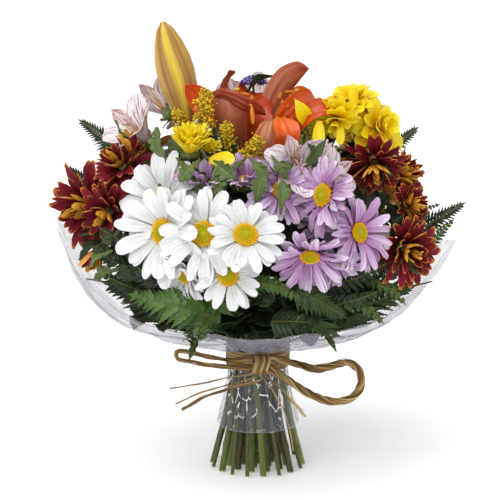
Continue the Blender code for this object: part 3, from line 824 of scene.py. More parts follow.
def green_leaf():
    # Matt grey-green blades whose paler veins are sunk into them, darkened nearly to black-green by a low
    # tone as painted shade for the leaves deep in the bunch
    look = chosen().foliage
    stops = ((0, "627438"), (0.5, look.leaf), (1, "4A5F2A"))
    return grown(
        "chrysanthemum_leaf", stops, look.leaf_vein, vein_share=0.25, fibres=7, translucence=0.05, bump=0.8,
        tone_range=(0.45, 1.08), shade="18280F", shade_share=0.9, side_veins=6,
    )


def fern_leaf():
    # Leathery leaflets, whose tone is painted light: bright for those lit in front, and nearly black-green,
    # painted shade, for those deep in the bunch
    look = chosen().foliage
    stops = ((0, "3C5A18"), (0.5, look.fern), (1, "2A4C15"))
    return grown(
        "fern_leaflet", stops, "627F37", vein_share=0.25, fibres=5, translucence=0.05, roughness=0.34,
        bump=0.7, tone_range=(0.5, 1.25), specular=0.5, shade=look.fern_shade, shade_share=0.9, side_veins=5,
    )


def green_stem():
    # Smooth stems, each with its own green, ribbed lengthwise about 1 mm apart, and pale where they are cut
    material, add, shader = start_material("flower_stem")
    tone = add("Attribute", attribute_name="tone").outputs["Fac"]
    stops = ((0, "241A0E"), (0.3, "48421A"), (0.6, chosen().foliage.stem), (1, "84A02E"))
    ramp = add("ValToRGB", {0: tone}, stops)
    place = add("TexCoord").outputs["Object"]
    stretched = add("Mapping", {"Vector": place, "Scale": (900.0, 900.0, 40.0)})
    ribs = add("TexNoise", {"Vector": stretched, "Scale": 1.0, "Detail": 3.0})
    strength = add("MapRange", {0: ribs, 1: 0.4, 2: 0.7, 3: 0.0, 4: 0.3})
    ribbed = add("Mix", {0: strength, MIX_A: ramp, MIX_B: "7E8840"}, data_type="RGBA").outputs[MIX_RESULT]
    height = add("SeparateXYZ", {0: place}).outputs[2]
    cut = add("MapRange", {0: height, 1: 0.0004, 2: 0.0014, 3: 1.0, 4: 0.0})
    colour = add("Mix", {0: cut, MIX_A: ribbed, MIX_B: "C9C79A"}, data_type="RGBA").outputs[MIX_RESULT]
    relief = add("Bump", {"Strength": 0.3, "Distance": 0.0003, "Height": ribs})
    fill(shader, {"Base Color": colour, "Normal": relief, "Roughness": 0.32})
    return material


def goldenrod_florets():
    # Tiny open florets, mustard in the shade and bright at their tips
    stops = ((0, "8A7A12"), (0.4, chosen().fillers.goldenrod), (1, "F2D234"))
    return by_tone("goldenrod_florets", stops, roughness=0.7, speckle=0.2)


def statice_calyx():
    # Papery violet cups, paler at the rim
    stops = ((0, "3A2C66"), (0.6, chosen().fillers.statice), (1, "B9B0D8"))
    return by_tone("statice_calyx", stops, roughness=0.7, speckle=0.2)


def dry_raffia():
    # Dry palm fibre: fine lengthwise ribs, straw and brown, each strand with its own tone
    look = chosen().raffia
    material, add, shader = start_material("dry_raffia")
    uv = add("UVMap", uv_map="UVMap")
    tone = add("Attribute", attribute_name="tone").outputs["Fac"]
    ramp = add("ValToRGB", {0: tone}, ((0, "745430"), (0.5, look.straw), (1, "D4B884")))
    stretched = add("Mapping", {"Vector": uv, "Scale": (26.0, 3.0, 1.0)})
    seed = add("Math", {0: tone, 1: 53.0}, operation="MULTIPLY")
    ribs = add(
        "TexNoise", {"Vector": stretched, "W": seed, "Scale": 1.0, "Detail": 4.0}, noise_dimensions="4D"
    )
    dark = add("MapRange", {0: ribs, 1: 0.48, 2: 0.66, 3: 0.0, 4: 0.85})
    colour = add("Mix", {0: dark, MIX_A: ramp, MIX_B: look.rib}, data_type="RGBA").outputs[MIX_RESULT]
    relief = add("Bump", {"Strength": 0.7, "Distance": 0.0004, "Height": ribs})
    fill(shader, {"Base Color": colour, "Normal": relief, "Roughness": 0.75, "Specular IOR Level": 0.25})
    return material


def clear_film():
    # Clear polypropylene film: nearly see-through, hazy where it is handled, hazier edge-on as a painted
    # reflection, and white along its creases, partly real whitening and partly painted highlight, with
    # painted glints on the skirt
    look = chosen().film
    material, add, shader = start_material("clear_polypropylene_film")
    crease = add("Attribute", attribute_name="tone").outputs["Fac"]
    place = add("TexCoord").outputs["Object"]
    height = add("SeparateXYZ", {0: place}).outputs[2]
    patches = add("TexNoise", {"Vector": place, "Scale": 24.0, "Detail": 3.0, "Distortion": 1.5})
    patch = add("MapRange", {0: patches, 1: 0.42, 2: 0.62, 3: look.haze, 4: look.haze + 0.09})
    # Hazier edge-on: a painted reflection, more of the tint where the film is seen at a glancing angle
    facing = add("LayerWeight", {"Blend": 0.35}).outputs["Facing"]
    edge = add("MapRange", {0: facing, 3: 0.0, 4: 0.20})
    haze = add("Math", {0: patch, 1: edge}, operation="ADD")
    thin = add("MapRange", {0: height, 1: 0.080, 2: 0.110, 3: 0.55, 4: 1.0})
    fog = add("Math", {0: haze, 1: thin}, operation="MULTIPLY")
    # Painted glints: short straight white strokes under 1 mm wide, drawn out upwards, where the skirt is
    # crumpled, standing for its highlights
    drawn = add("Mapping", {"Vector": place, "Scale": (1.0, 1.0, 0.55)})
    folds = add("TexVoronoi", {"Vector": drawn, "Scale": 128.0}, feature="DISTANCE_TO_EDGE")
    stroke = add("MapRange", {0: folds, 1: 0.018, 2: 0.062, 3: 1.0, 4: 0.0})
    seen = add("TexNoise", {"Vector": place, "Scale": 150.0, "Detail": 0.0})
    shown = add("MapRange", {0: seen, 1: 0.50, 2: 0.55, 3: 0.0, 4: 1.0})
    short = add("Math", {0: stroke, 1: shown}, operation="MULTIPLY")
    low = add("MapRange", {0: height, 1: 0.092, 2: 0.108, 3: 1.0, 4: 0.0})
    hem = add("MapRange", {0: height, 1: 0.044, 2: 0.058, 3: 0.35, 4: 1.0})
    held = add("Math", {0: low, 1: hem}, operation="MULTIPLY")
    painted_glint = add("Math", {0: short, 1: held}, operation="MULTIPLY")
    # The crease marks drawn white: partly the film's real whitening along its creases, partly painted
    # highlight
    line = add("MapRange", {0: crease, 1: 0.30, 2: 1.0, 3: 0.0, 4: 0.60})
    white = add("Math", {0: painted_glint, 1: line}, operation="MAXIMUM")
    alpha = add("Math", {0: fog, 1: white}, operation="MAXIMUM")
    colour = add("Mix", {0: white, MIX_A: look.tint, MIX_B: "FFFFFF"}, data_type="RGBA").outputs[MIX_RESULT]
    fill(shader, {
        "Base Color": colour, "Alpha": alpha, "Roughness": 0.12, "IOR": 1.49, "Specular IOR Level": 0.9,
    })
    return material


# What makes each finish, and the name of its slot
FINISHES = {
    "white": (white_ray, "white_daisy"), "lilac": (lilac_ray, "lilac_daisy"),
    "disc": (disc_florets, "daisy_disc"), "yellow": (yellow_ray, "yellow_chrysanthemum"),
    "crimson": (crimson_ray, "crimson_chrysanthemum"), "gold": (gold_back, "crimson_chrysanthemum"),
    "alstroemeria": (alstroemeria_face, "alstroemeria"), "streaked": (alstroemeria_streaked, "alstroemeria"),
    "lily": (lily_face, "lily_petal"), "lily back": (lily_back, "lily_petal"),
    "stamens": (lily_parts, "lily_petal"), "bud": (bud_skin, "lily_bud"),
    "goldenrod": (goldenrod_florets, "goldenrod"), "statice": (statice_calyx, "statice"),
    "leaf": (green_leaf, "leaf"), "fern": (fern_leaf, "fern"), "stem": (green_stem, "green_stem"),
    "raffia": (dry_raffia, "raffia"), "film": (clear_film, "clear_film"),
}


@cache
def finish_of(key):
    """One of the bouquet's finishes, made the first time that it is asked for."""
    return FINISHES[key][0]()


# Outlines, as pairs of a share along and a share of the half width

RAY_OUTLINE = ((0, 0.34), (0.12, 0.5), (0.35, 0.82), (0.6, 0.98), (0.8, 1), (1, 0.8))
MUM_OUTLINE = ((0, 0.4), (0.25, 0.7), (0.6, 0.98), (0.8, 1), (1, 0.7))
TEPAL_OUTLINE = ((0, 0.16), (0.25, 0.44), (0.5, 0.88), (0.7, 1), (0.88, 0.9), (1, 0.55))
STREAK_OUTLINE = ((0, 0.22), (0.4, 0.55), (0.7, 1), (0.88, 0.8), (1, 0.12))
LILY_OUTLINE = ((0, 0.28), (0.2, 0.62), (0.45, 1), (0.7, 0.96), (0.88, 0.68), (0.96, 0.38), (1, 0.1))
FLAP_OUTLINE = ((0, 0.45), (0.3, 0.78), (0.6, 1), (0.9, 1), (1, 0.92))
CURL_OUTLINE = ((0, 1), (0.4, 0.72), (0.7, 0.4), (0.86, 0.34), (0.95, 0.55), (1, 0.3))
LANCE_OUTLINE = ((0, 0.2), (0.25, 0.85), (0.5, 1), (0.8, 0.6), (1, 0.05))
LOBED_OUTLINE = ((0, 0.1), (0.2, 0.42), (0.4, 0.86), (0.62, 1), (0.82, 0.74), (0.94, 0.4), (1, 0.08))
PINNA_OUTLINE = ((0, 0.6), (0.1, 0.95), (0.25, 1), (0.5, 0.78), (0.8, 0.38), (1, 0.03))


# Blooms


# A daisy's petals: how many, how far they reach by the bloom's radius, how wide they are
# by that reach, how they rise, curl and sag, how unruly they are and how finely they are
# made, and its disc: how wide it is by the reach and how many florets it has
DaisyLook = namedtuple("DaisyLook", "petals reach width rise curl sag wild columns disc florets")

# A chrysanthemum's petals, as a daisy's, in whorls that curl in, stand up and shorten
# towards the heart
MumLook = namedtuple("MumLook", "petals whorls reach width rise curl incurve cup sag stand shorter")

# Pairs of a distance forward and a radius, by the bloom's radius, reach or disc
DISC_DOME = ((0.4, 0.02), (0.36, 0.3), (0.24, 0.62), (0.06, 0.88), (-0.12, 0.94), (-0.2, 0.5))
DAISY_CUP = ((-0.3, 0.05), (-0.28, 0.13), (-0.22, 0.24), (-0.13, 0.31), (-0.07, 0.28))
MUM_CUP = ((-0.75, 0.05), (-0.7, 0.16), (-0.58, 0.3), (-0.44, 0.34), (-0.34, 0.22))
BUD_CUP = ((-0.9, 0.16), (-0.6, 0.55), (0, 0.78), (0.5, 0.72), (0.6, 0.4))
OVARY = ((-0.5, 0.1), (-0.3, 0.26), (0, 0.3), (0.35, 0.2))

# The angle between one floret or side twig and the next, which never lines them up
FLORET_TURN = 2.399963
TWIG_TURN = 2.4
BUD_PETALS = 9


def daisy(petals, discs, greens, bloom, rng, look):
    """A daisy: two rows of ray petals round a domed disc of florets, with a green cup behind."""
    reach = bloom.radius * look.reach
    disc = reach * look.disc
    turn = rng.uniform(0, 1)
    for row, count in enumerate((look.petals // 2, look.petals - look.petals // 2)):
        for i in range(count):
            out = spoke(bloom.facing, FULL_TURN * (i + turn + row * 0.5 + rng.uniform(-0.25, 0.25)) / count)
            root = bloom.eye + out * disc * 0.80 - bloom.facing * (0.07 + 0.05 * row) * reach
            petals.petal(
                root, out, bloom.facing, (reach - disc * 0.8) * rng.uniform(0.86, 1.08),
                reach * look.width * rng.uniform(0.82, 1.15), RAY_OUTLINE,
                rise=look.rise - 9 * row + rng.uniform(-10, 10) * look.wild,
                curl=look.curl + rng.uniform(-22, 18) * look.wild, bend=1.4,
                cup=rng.uniform(-0.05, 0.45) * look.wild, tip=0.17, ridge=0.0005 * reach / 0.03, ridges=3,
                ruffle=rng.uniform(0, 0.0012) * look.wild, twist=rng.uniform(-26, 26) * look.wild,
                sag=look.sag * rng.uniform(0.5, 1.5), columns=look.columns, rows=8, tone=rng.random(),
            )
    for k in range(look.florets):
        share = (k + 0.5) / look.florets
        out = spoke(bloom.facing, k * FLORET_TURN)
        dome = disc * 0.42 * (1 - share) - disc * 0.10 * exp(-share * 30)
        way = (bloom.facing + out * share * 0.9).normalized()
        centre = bloom.eye + out * (disc * sqrt(share)) + bloom.facing * (dome - 0.02 * reach)
        tone = min(1.0, 0.15 + 0.85 * share + rng.uniform(-0.12, 0.12))
        discs.bead(centre, way, disc * (0.070 + 0.035 * share), 1.5 + 0.9 * share, tone)
    discs.turned(bloom.eye - bloom.facing * 0.02 * reach, bloom.facing, DISC_DOME, disc, sides=14, tone=0.4)
    greens.turned(bloom.eye, bloom.facing, DAISY_CUP, reach, sides=16, tone=0.55, flute=0.06, flutes=8)


def mum(petals, discs, greens, bloom, rng, look):
    """A chrysanthemum: petals in whorls that stand up more and more towards the heart, or its bud."""
    if bloom.kind == "bud":
        small_bud(petals, greens, bloom, rng)
        return
    reach = bloom.radius * look.reach
    for whorl in range(look.whorls):
        share = whorl / max(1, look.whorls - 1)
        count = round(look.petals * (1 - 0.55 * share))
        turn = rng.random()
        for i in range(count):
            out = spoke(bloom.facing, FULL_TURN * (i + turn + rng.uniform(-0.25, 0.25)) / count)
            inward, back = reach * (0.20 - 0.17 * share), reach * (0.42 - 0.30 * share)
            petals.petal(
                bloom.eye + out * inward - bloom.facing * back, out, bloom.facing,
                reach * (0.98 - look.shorter * share) * rng.uniform(0.82, 1.1),
                reach * look.width * (1 - 0.25 * share) * rng.uniform(0.85, 1.15), MUM_OUTLINE,
                rise=look.rise + (look.stand - look.rise) * share + rng.uniform(-10, 10),
                curl=look.curl + look.incurve * share + rng.uniform(-14, 14), bend=1.4,
                cup=look.cup * rng.uniform(0.6, 1.3), tip=0.18, ridge=0.0004, twist=rng.uniform(-25, 25),
                sag=look.sag * rng.uniform(0.5, 1.5), columns=5, rows=max(6, 8 - whorl), tone=rng.random(),
            )
    greens.turned(bloom.eye, bloom.facing, MUM_CUP, reach, sides=14, tone=0.5, flute=0.08, flutes=7)


def small_bud(petals, greens, bloom, rng):
    """A half-open bud of a chrysanthemum or alstroemeria."""
    base = bloom.eye - bloom.facing * bloom.radius * 4.4
    for i in range(BUD_PETALS):
        out = spoke(bloom.facing, FULL_TURN * (i + rng.uniform(-0.2, 0.2)) / BUD_PETALS)
        inside_out = -1 if i % 2 else 1
        petals.petal(
            base + out * bloom.radius * 0.3, out, bloom.facing * inside_out,
            bloom.radius * rng.uniform(3.4, 4.6), bloom.radius * 1.25, MUM_OUTLINE,
            rise=(56 + rng.uniform(-12, 8)) * inside_out, curl=34 * inside_out, cup=0.5 * inside_out, tip=0.1,
            columns=4, rows=7, tone=rng.random(),
        )
    greens.turned(base, bloom.facing, BUD_CUP, bloom.radius, sides=12, tone=0.5)


def alstroemeria(petals, streaked, greens, bloom, rng):
    """A trumpet of three broad petals and three narrow streaked ones, with a pointed ovary behind."""
    base = bloom.eye - bloom.facing * bloom.radius * 1.7
    aside = bloom.eye.y + copysign(0.08, bloom.eye.y - 0.01)
    away = Vector((bloom.eye.x * 0.6, aside, 0)).normalized()
    facing = (bloom.facing + away * 0.75).normalized()
    reach = bloom.radius * chosen().alstroemerias.reach
    turn = rng.random() * 2 * pi
    for i in range(6):
        out = spoke(facing, turn + pi * i / 3 + rng.uniform(-0.12, 0.12))
        if i % 2 == 0:
            draft, inward, width, outline = petals, 0.20, 0.56, TEPAL_OUTLINE
        else:
            draft, inward, width, outline = streaked, 0.12, 0.32, STREAK_OUTLINE
        draft.petal(
            base + out * bloom.radius * inward, out, facing, reach * rng.uniform(0.92, 1.05), reach * width,
            outline, rise=66 + rng.uniform(-6, 6), curl=-46 + rng.uniform(-12, 12), bend=1.3, cup=0.35,
            tip=0.14, ridge=0.0005, ruffle=0.0006, twist=rng.uniform(-12, 12), columns=7, rows=12,
            tone=rng.random(),
        )
    for i in range(5):
        out = spoke(facing, turn + 1.0 + 1.2 * i)
        tip = base + facing * reach * 0.72 + out * reach * 0.12
        line = arc(base, facing * reach * 0.4, tip, (facing + out) * reach * 0.15, 6)
        streaked.tube(line, 0.0005, sides=5, tone=0.9)
    greens.turned(base, facing, OVARY, bloom.radius, sides=12, tone=0.7, flute=0.12)


# Stems and leaves


def stems_and_twigs(greens, name, blooms, rng, radius, tone):
    """The stem of a node, with a twig from its fork to each bloom."""
    bm = merged_copy(name)
    lower = lower_path(bm)
    bm.free()
    middle = middle_of([bloom.eye for bloom in blooms])
    top = lower[-1]
    fork = Vector((FORK_SHARE * middle.x, FORK_SHARE * middle.y, top.z + FORK_RISE * (middle.z - top.z)))
    onward = (middle - fork).normalized()
    leave = (top - lower[-2]).normalized()
    bend = (fork - top).length * 0.35
    rise = arc(top, leave * bend, fork, onward * bend, 6)
    path = smooth_route(lower, 0.006) + rise[1:]
    knots = [rng.uniform(0.012, 0.026), rng.uniform(0.05, 0.07)]
    radii = []
    for spot in path:
        swell = sum(exp(-(((spot.z - knot) / KNOT_LENGTH) ** 2)) for knot in knots)
        radii.append(radius * (1 + 0.20 * swell) * (1.0 if spot.z < TIE_HEIGHT else 0.8))
    greens.tube(path, radii, sides=10, tone=tone)
    for knot in knots:
        low = min(range(len(path)), key=lambda i: abs(path[i].z - knot))
        aside = axes_of((path[low + 1] - path[low]).normalized())[0] * rng.choice((-1, 1))
        spot = path[low] + aside * radius * 1.05
        greens.bead(spot, (aside + UP).normalized(), radius * 0.42, 1.5, tone * 0.5)
    greens.cut_flat()
    twigs = []
    for bloom in blooms:
        neck = bloom.eye - bloom.facing * bloom.radius * NECKS[bloom.kind] * 0.9
        span = (neck - fork).length
        twig = arc(fork, onward * span * 0.35, neck, bloom.facing * span * 0.4, 9)
        greens.tube(twig, [radius * (0.62 - 0.02 * i) for i in range(len(twig))], sides=8, tone=tone)
        twigs.append(twig)
    return path, twigs


def leaf(leaves, spot, out, facing, length, width, outline, rng, tone, columns=4, rows=12):
    """One leaf, which arches over and is never quite flat. A lobed one has deep forward teeth."""
    lobed = outline is LOBED_OUTLINE
    leaves.petal(
        spot, out, facing, length, width, outline, rise=rng.uniform(0, 25), curl=rng.uniform(-75, -25),
        bend=1.2, cup=rng.uniform(-0.2, 0.2), sweep=0.15 if lobed else 0.0, fold=rng.uniform(0.15, 0.5),
        ruffle=0.0016, twist=rng.uniform(-30, 30), teeth=4 if lobed else 0, tooth=0.50, lobed=lobed,
        columns=columns, rows=rows if lobed else 12, tone=tone,
    )


def leaves_on(leaves, lines, rng, count, length, width, tone, outline=LANCE_OUTLINE):
    """Leaves that stand out and hang from the lower two thirds of lines of points, each of its own size."""
    for line in lines:
        for _ in range(count):
            spot = line[rng.randrange(1, max(2, round(0.66 * len(line))))]
            away = Vector((spot.x, spot.y, 0)).normalized()
            turn = Matrix.Rotation(rng.uniform(-1.3, 1.3), 3, "Z")
            out = (turn @ away + UP * rng.uniform(-0.5, 0.6)).normalized()
            size = rng.uniform(0.75, 1.15)
            out = clear_of_film(spot, out, length * size, 0.4 * length)
            facing = square_to(away * 0.7 + UP, out)
            leaf(leaves, spot, out, facing, length * size, width * size, outline, rng, rng.uniform(*tone))


def clear_of_film(spot, out, length, above):
    """The same way out, lifted where its end would come nearer to the film than this."""
    tip = spot + out * length
    low = height_of_film(tip) + above - tip.z
    return (out + UP * (low / length)).normalized() if low > 0 else out


# The height that rays come down from, and how far past the film's edge is clear of it
RAY_TOP = 0.5
EDGE_CLEARANCE = 0.004


@cache
def film_tree():
    """The film's wall, ready to be searched."""
    bm = merged_copy("film_collar")
    bmesh.ops.triangulate(bm, faces=bm.faces)
    tree = BVHTree.FromBMesh(bm)
    bm.free()
    return tree


def height_of_film(spot):
    """The height of the film's inside below a spot, or of its nearest edge where there is none below."""
    hit = film_tree().ray_cast(Vector((spot.x, spot.y, RAY_TOP)), -UP)[0]
    return hit.z if hit else film_tree().find_nearest(spot)[0].z + EDGE_CLEARANCE


# Operators


# Heads that turn further on their necks than their twigs do, how much wider they
# open, how far their petals stand up, in degrees, how much wider their discs are,
# and how far the whole head nods over, in millimetres
Turn = namedtuple("Turn", "facing grown rise eye nod", defaults=(1.0, (0, 0, 0)))
TURNED_HEADS = {
    "white_daisy_spray_1": {
        0: Turn((-0.45, -0.72, 0.52), 1.45, 30, 0.85, (6, 3, -18)),
        1: Turn((-0.5, -0.82, 0.14), 1.2, 26, 0.92),
        2: Turn((-0.6, -0.66, -0.46), 1.25, 34),
    },
    "white_daisy_spray_2": {
        0: Turn((0.11, -0.82, 0.56), 0.88, 25, 1.14),
        1: Turn((-0.25, -0.9, 0.25), 1.15, 22),
        2: Turn((-0.14, -0.9, 0.22), 0.9, 28, 1.08, (0, -9, 0)),
    },
    "lilac_daisy_spray_1": {
        0: Turn((-0.7, -0.62, 0.22), 1.08, 26, 1.2),
        1: Turn((0.66, -0.7, 0.24), 1, 28),
        2: Turn((-0.06, -0.74, -0.6), 1.05, 36),
    },
    "lilac_daisy_spray_2": {
        0: Turn((0.1, -0.42, 0.88), 1.1, 60, 1, (0, 6, -7)),
        1: Turn((-0.1, -0.3, 0.95), 1.15, 72, 1, (0, 6, -6)),
        2: Turn((0.3, -0.82, 0.4), 1.15, 32),
    },
    "crimson_chrysanthemum_spray_1": {
        0: Turn((-0.6, -0.7, -0.1), 1.2, 8),
    },
    "crimson_chrysanthemum_spray_2": {
        1: Turn((-0.5, -0.55, 0.65), 0.95, 10, 1, (0, 10, 0)),
        2: Turn((-0.45, -0.75, -0.3), 1.2, 6, 1, (-4, 10, -6)),
    },
    "crimson_chrysanthemum_spray_3": {
        0: Turn((0.05, -0.72, -0.5), 1, 4, 1, (0, 8, -8)),
    },
    "crimson_chrysanthemum_spray_4": {
        1: Turn((0.45, -0.8, -0.1), 0.96, 26),
    },
    "yellow_chrysanthemum_spray_1": {
        0: Turn((0.02, -0.36, 0.93), 1.14, 60, 1, (2, 0, -5)),
        1: Turn((0.1, -0.4, 0.9), 0.8, 44, 1, (-4, 12, -4)),
    },
    "yellow_chrysanthemum_spray_2": {
        0: Turn((-0.35, -0.42, 0.82), 1.05, 16),
        1: Turn((-0.1, -0.62, -0.5), 1.1, -6),
        2: Turn((0.66, -0.62, 0.22), 1.2, 2, 1, (0, -12, -1)),
    },
}

# The crimson sprays whose blooms are still closing round their hearts
CLOSING_SPRAYS = (2, 3)

# Heads that crowd in between the others on the same spray
CROWDED_HEADS = {
    "lilac_daisy_spray_1": (
        Bloom(Vector((0.062, -0.104, 0.197)), Vector((0.3, -0.7, -0.62)).normalized(), 0.021, "daisy"),
        Bloom(Vector((0.052, -0.102, 0.232)), Vector((0.1, -0.74, -0.55)).normalized(), 0.018, "daisy"),
    ),
}

# The larger leaves that show between the blooms: root, tip and width in millimetres, and how bright each is,
# the low tones painted shade for the leaves further in
LEAF_PLACES = {
    "yellow_chrysanthemum_spray_1": (
        ((-42, -88, 282), (-18, -106, 266), 17, 0.9), ((-10, -90, 280), (-36, -106, 264), 16, 1),
        ((-66, -82, 280), (-44, -100, 260), 16, 0.8), ((-72, -66, 268), (-82, -70, 300), 24, 0.9),
        ((-64, -68, 270), (-66, -74, 296), 18, 0.7), ((-46, -92, 280), (-60, -106, 262), 14, 0.95),
        ((-30, -92, 282), (-28, -108, 260), 13, 0.85), ((-22, -96, 270), (-36, -112, 254), 12, 1),
        ((-54, -94, 270), (-44, -112, 252), 12, 0.6), ((-8, -94, 282), (6, -110, 268), 12, 0.9),
        ((10, -96, 284), (22, -110, 270), 11, 0.8), ((-42, -54, 270), (-30, -56, 298), 20, 0.25),
        ((-58, -48, 280), (-53, -48, 306), 17, 0.2), ((-26, -60, 268), (-20, -60, 290), 18, 0.2),
    ),
    "lilac_daisy_spray_2": (
        ((-3, -112, 246), (3, -118, 270), 16, 0.9), ((17, -122, 240), (20, -124, 266), 14, 0.9),
    ),
    "lilac_daisy_spray_1": (
        ((96, -70, 250), (104, -74, 270), 14, 0.3), ((22, -74, 200), (26, -78, 236), 30, 0.1),
        ((34, -70, 214), (30, -74, 250), 30, 0.1), ((10, -72, 222), (8, -76, 256), 30, 0.1),
    ),
    "alstroemeria_stem_2": (
        ((37, -94, 274), (52, -96, 296), 9, 0.6), ((46, -92, 268), (43, -94, 298), 8, 0.5),
        ((28, -92, 276), (10, -104, 272), 9, 0.9),
    ),
    "alstroemeria_stem_1": (((-101, -30, 284), (-116, -32, 303), 7, 0.8),),
    "crimson_chrysanthemum_spray_4": (
        ((98, -70, 206), (112, -76, 232), 24, 0.2), ((94, -64, 224), (106, -72, 250), 22, 0.15),
        ((86, -78, 196), (94, -84, 222), 22, 0.1), ((106, -62, 212), (112, -66, 238), 24, 0.05),
        ((96, -68, 170), (110, -74, 192), 22, 0.1), ((104, -72, 184), (116, -76, 204), 20, 0.1),
        ((108, -86, 200), (130, -86, 188), 18, 0.6),
    ),
    "crimson_chrysanthemum_spray_1": (
        ((-118, -72, 202), (-138, -76, 192), 16, 0.95), ((-108, -80, 190), (-130, -86, 178), 17, 0.7),
        ((-100, -74, 196), (-112, -82, 214), 18, 0.3), ((-94, -80, 178), (-110, -88, 192), 20, 0.15),
        ((-110, -70, 220), (-132, -70, 208), 18, 0.4),
    ),
    "statice_stem_1": (((-10, 6, 322), (11, 4, 338), 12, 0.3),),
}

# Petals of half-hidden blooms that show by themselves: root, tip, width, outline and tone
LOOSE_PETALS = {
    "yellow_chrysanthemum_spray_1": (((-39, -94, 279), (-20, -101, 282), 11.5, RAY_OUTLINE, 1),),
    "yellow_chrysanthemum_spray_2": (
        ((41, -52, 302), (30, -70, 324), 13, LANCE_OUTLINE, 1),
        ((49, -64, 307), (48, -73, 289), 10, RAY_OUTLINE, 0.5),
        ((66, -60, 304), (66, -68, 289), 7, RAY_OUTLINE, 0.4),
        ((79, -34, 314), (76, -36, 333), 8, LANCE_OUTLINE, 0.8),
    ),
}


def spray(name, look, finishes, seed, build):
    """One cut stem with its blooms, twigs and leaves, as up to four pieces."""
    rng = random.Random(seed)
    blooms = blooms_of(name) + list(CROWDED_HEADS.get(name, ()))
    petals, discs, greens, leaves = Draft(), Draft(), Draft(), Draft()
    stem_tone = rng.choice((0.1, 0.3, 0.45, 0.6, 0.8, 0.95))
    foliage = chosen().foliage
    long, wide = foliage.leaf_length, foliage.leaf_width
    radius = foliage.stem_radius * rng.uniform(0.93, 1.14)
    path, twigs = stems_and_twigs(greens, name, blooms, rng, radius, stem_tone)
    # Low tones: painted shade for the leaves inside the bunch
    leaves_on(leaves, twigs, rng, 9, long, wide, (0, 0.55), LOBED_OUTLINE)
    upper = [spot for spot in path if spot.z > LEAFY_HEIGHT]
    leaves_on(leaves, [upper], rng, 12, 1.5 * long, 1.45 * wide, (0, 0.3), LOBED_OUTLINE)
    placed_leaves(leaves, name, rng)
    for number, bloom in enumerate(blooms):
        turn = TURNED_HEADS.get(name, {}).get(number)
        turned = look
        if turn:
            eye = bloom.eye + Vector(turn.nod) * MM
            facing = Vector(turn.facing).normalized()
            bloom = bloom._replace(eye=eye, facing=facing, radius=bloom.radius * turn.grown)
            turned = look._replace(rise=turn.rise)
            if turn.eye != 1.0:
                turned = turned._replace(disc=look.disc * turn.eye)
        build(petals, discs, greens, bloom, rng, turned)
    loose_petals(petals, name, rng)
    petals.finish(name, "petals", finishes, PETAL_THICKNESS)
    finish_greens(name, greens, leaves)
    if discs.bm.verts:
        discs.finish(name, "discs", ["disc"])
    else:
        discs.bm.free()


def span_of(root, tip):
    """A root in metres, and the way and the distance from it to a tip, of two places in millimetres."""
    root, tip = Vector(root) * MM, Vector(tip) * MM
    return root, (tip - root).normalized(), (tip - root).length


def loose_petals(petals, name, rng):
    """The petals of half-hidden blooms."""
    for root, tip, width, outline, tone in LOOSE_PETALS.get(name, ()):
        root, out, length = span_of(root, tip)
        petals.petal(
            root, out, square_to(Vector((0, -1, 0.25)), out), length * 1.04, width * MM, outline, rise=6,
            curl=-24, cup=0.3, tip=0.2, ridge=0.0004, twist=rng.uniform(-10, 10), rows=12, tone=tone,
        )


def placed_leaves(leaves, name, rng):
    """The larger leaves of a node, lobed on a spray and narrow on the others."""
    outline = LOBED_OUTLINE if "spray" in name else LANCE_OUTLINE
    for root, tip, width, tone in LEAF_PLACES.get(name, ()):
        root, out, length = span_of(root, tip)
        facing = square_to(Vector((root.x, root.y, 0.04)).normalized(), out)
        leaf(leaves, root, out, facing, length * 1.1, width * MM, outline, rng, tone, columns=6, rows=24)


class BOUQUET_OT_daisies(Operator):
    """Adds the white and the lilac daisies"""

    bl_idname = "bouquet.daisies"
    bl_label = "Daisies"

    def execute(self, context):
        chose = chosen().daisies
        white = DaisyLook(
            petals=chose.white_petals, reach=chose.white_reach, width=chose.white_width, rise=16, curl=-26,
            sag=0.05, wild=1.0, columns=6, disc=0.255, florets=130,
        )
        lilac = DaisyLook(
            petals=chose.lilac_petals, reach=chose.lilac_reach, width=chose.lilac_width, rise=30, curl=-40,
            sag=0.06, wild=1.55, columns=5, disc=0.225, florets=120,
        )
        for seed, name in enumerate(nodes_called("white_daisy"), 11):
            spray(name, white, ["white"], seed, daisy)
        for seed, name in enumerate(nodes_called("lilac_daisy"), 31):
            spray(name, lilac, ["lilac"], seed, daisy)
        return {"FINISHED"}


class BOUQUET_OT_chrysanthemums(Operator):
    """Adds the yellow and the crimson chrysanthemums"""

    bl_idname = "bouquet.chrysanthemums"
    bl_label = "Chrysanthemums"

    def execute(self, context):
        chose = chosen().chrysanthemums
        brush = MumLook(
            petals=24, whorls=5, reach=0.94 * chose.yellow_reach, width=0.27, rise=38, curl=-16, incurve=10,
            cup=0.4, sag=0.0, stand=74, shorter=0.30,
        )
        ruffled = MumLook(
            petals=14, whorls=4, reach=chose.yellow_reach, width=0.50, rise=14, curl=-26, incurve=6,
            cup=0.3, sag=0.06, stand=62, shorter=0.42,
        )
        crimson = MumLook(
            petals=17, whorls=4, reach=chose.crimson_reach, width=0.27, rise=8, curl=-22, incurve=58,
            cup=0.4, sag=0.04, stand=76, shorter=0.24,
        )
        closing = crimson._replace(rise=22, incurve=84, cup=0.6)
        for number, name in enumerate(nodes_called("yellow_chrysanthemum")):
            spray(name, ruffled if number else brush, ["yellow"], 51 + number, mum)
        for number, name in enumerate(nodes_called("crimson_chrysanthemum")):
            look = closing if number in CLOSING_SPRAYS else crimson
            spray(name, look, ["crimson", "gold"], 71 + number, mum)
        return {"FINISHED"}


# How much lower a stem's open heads hang than its twigs would hold them
HEAD_DROPS = {
    ("alstroemeria_stem_1", "trumpet"): 0.007, ("alstroemeria_stem_2", "trumpet"): 0.007,
    ("alstroemeria_stem_2", "bud"): 0.016,
}


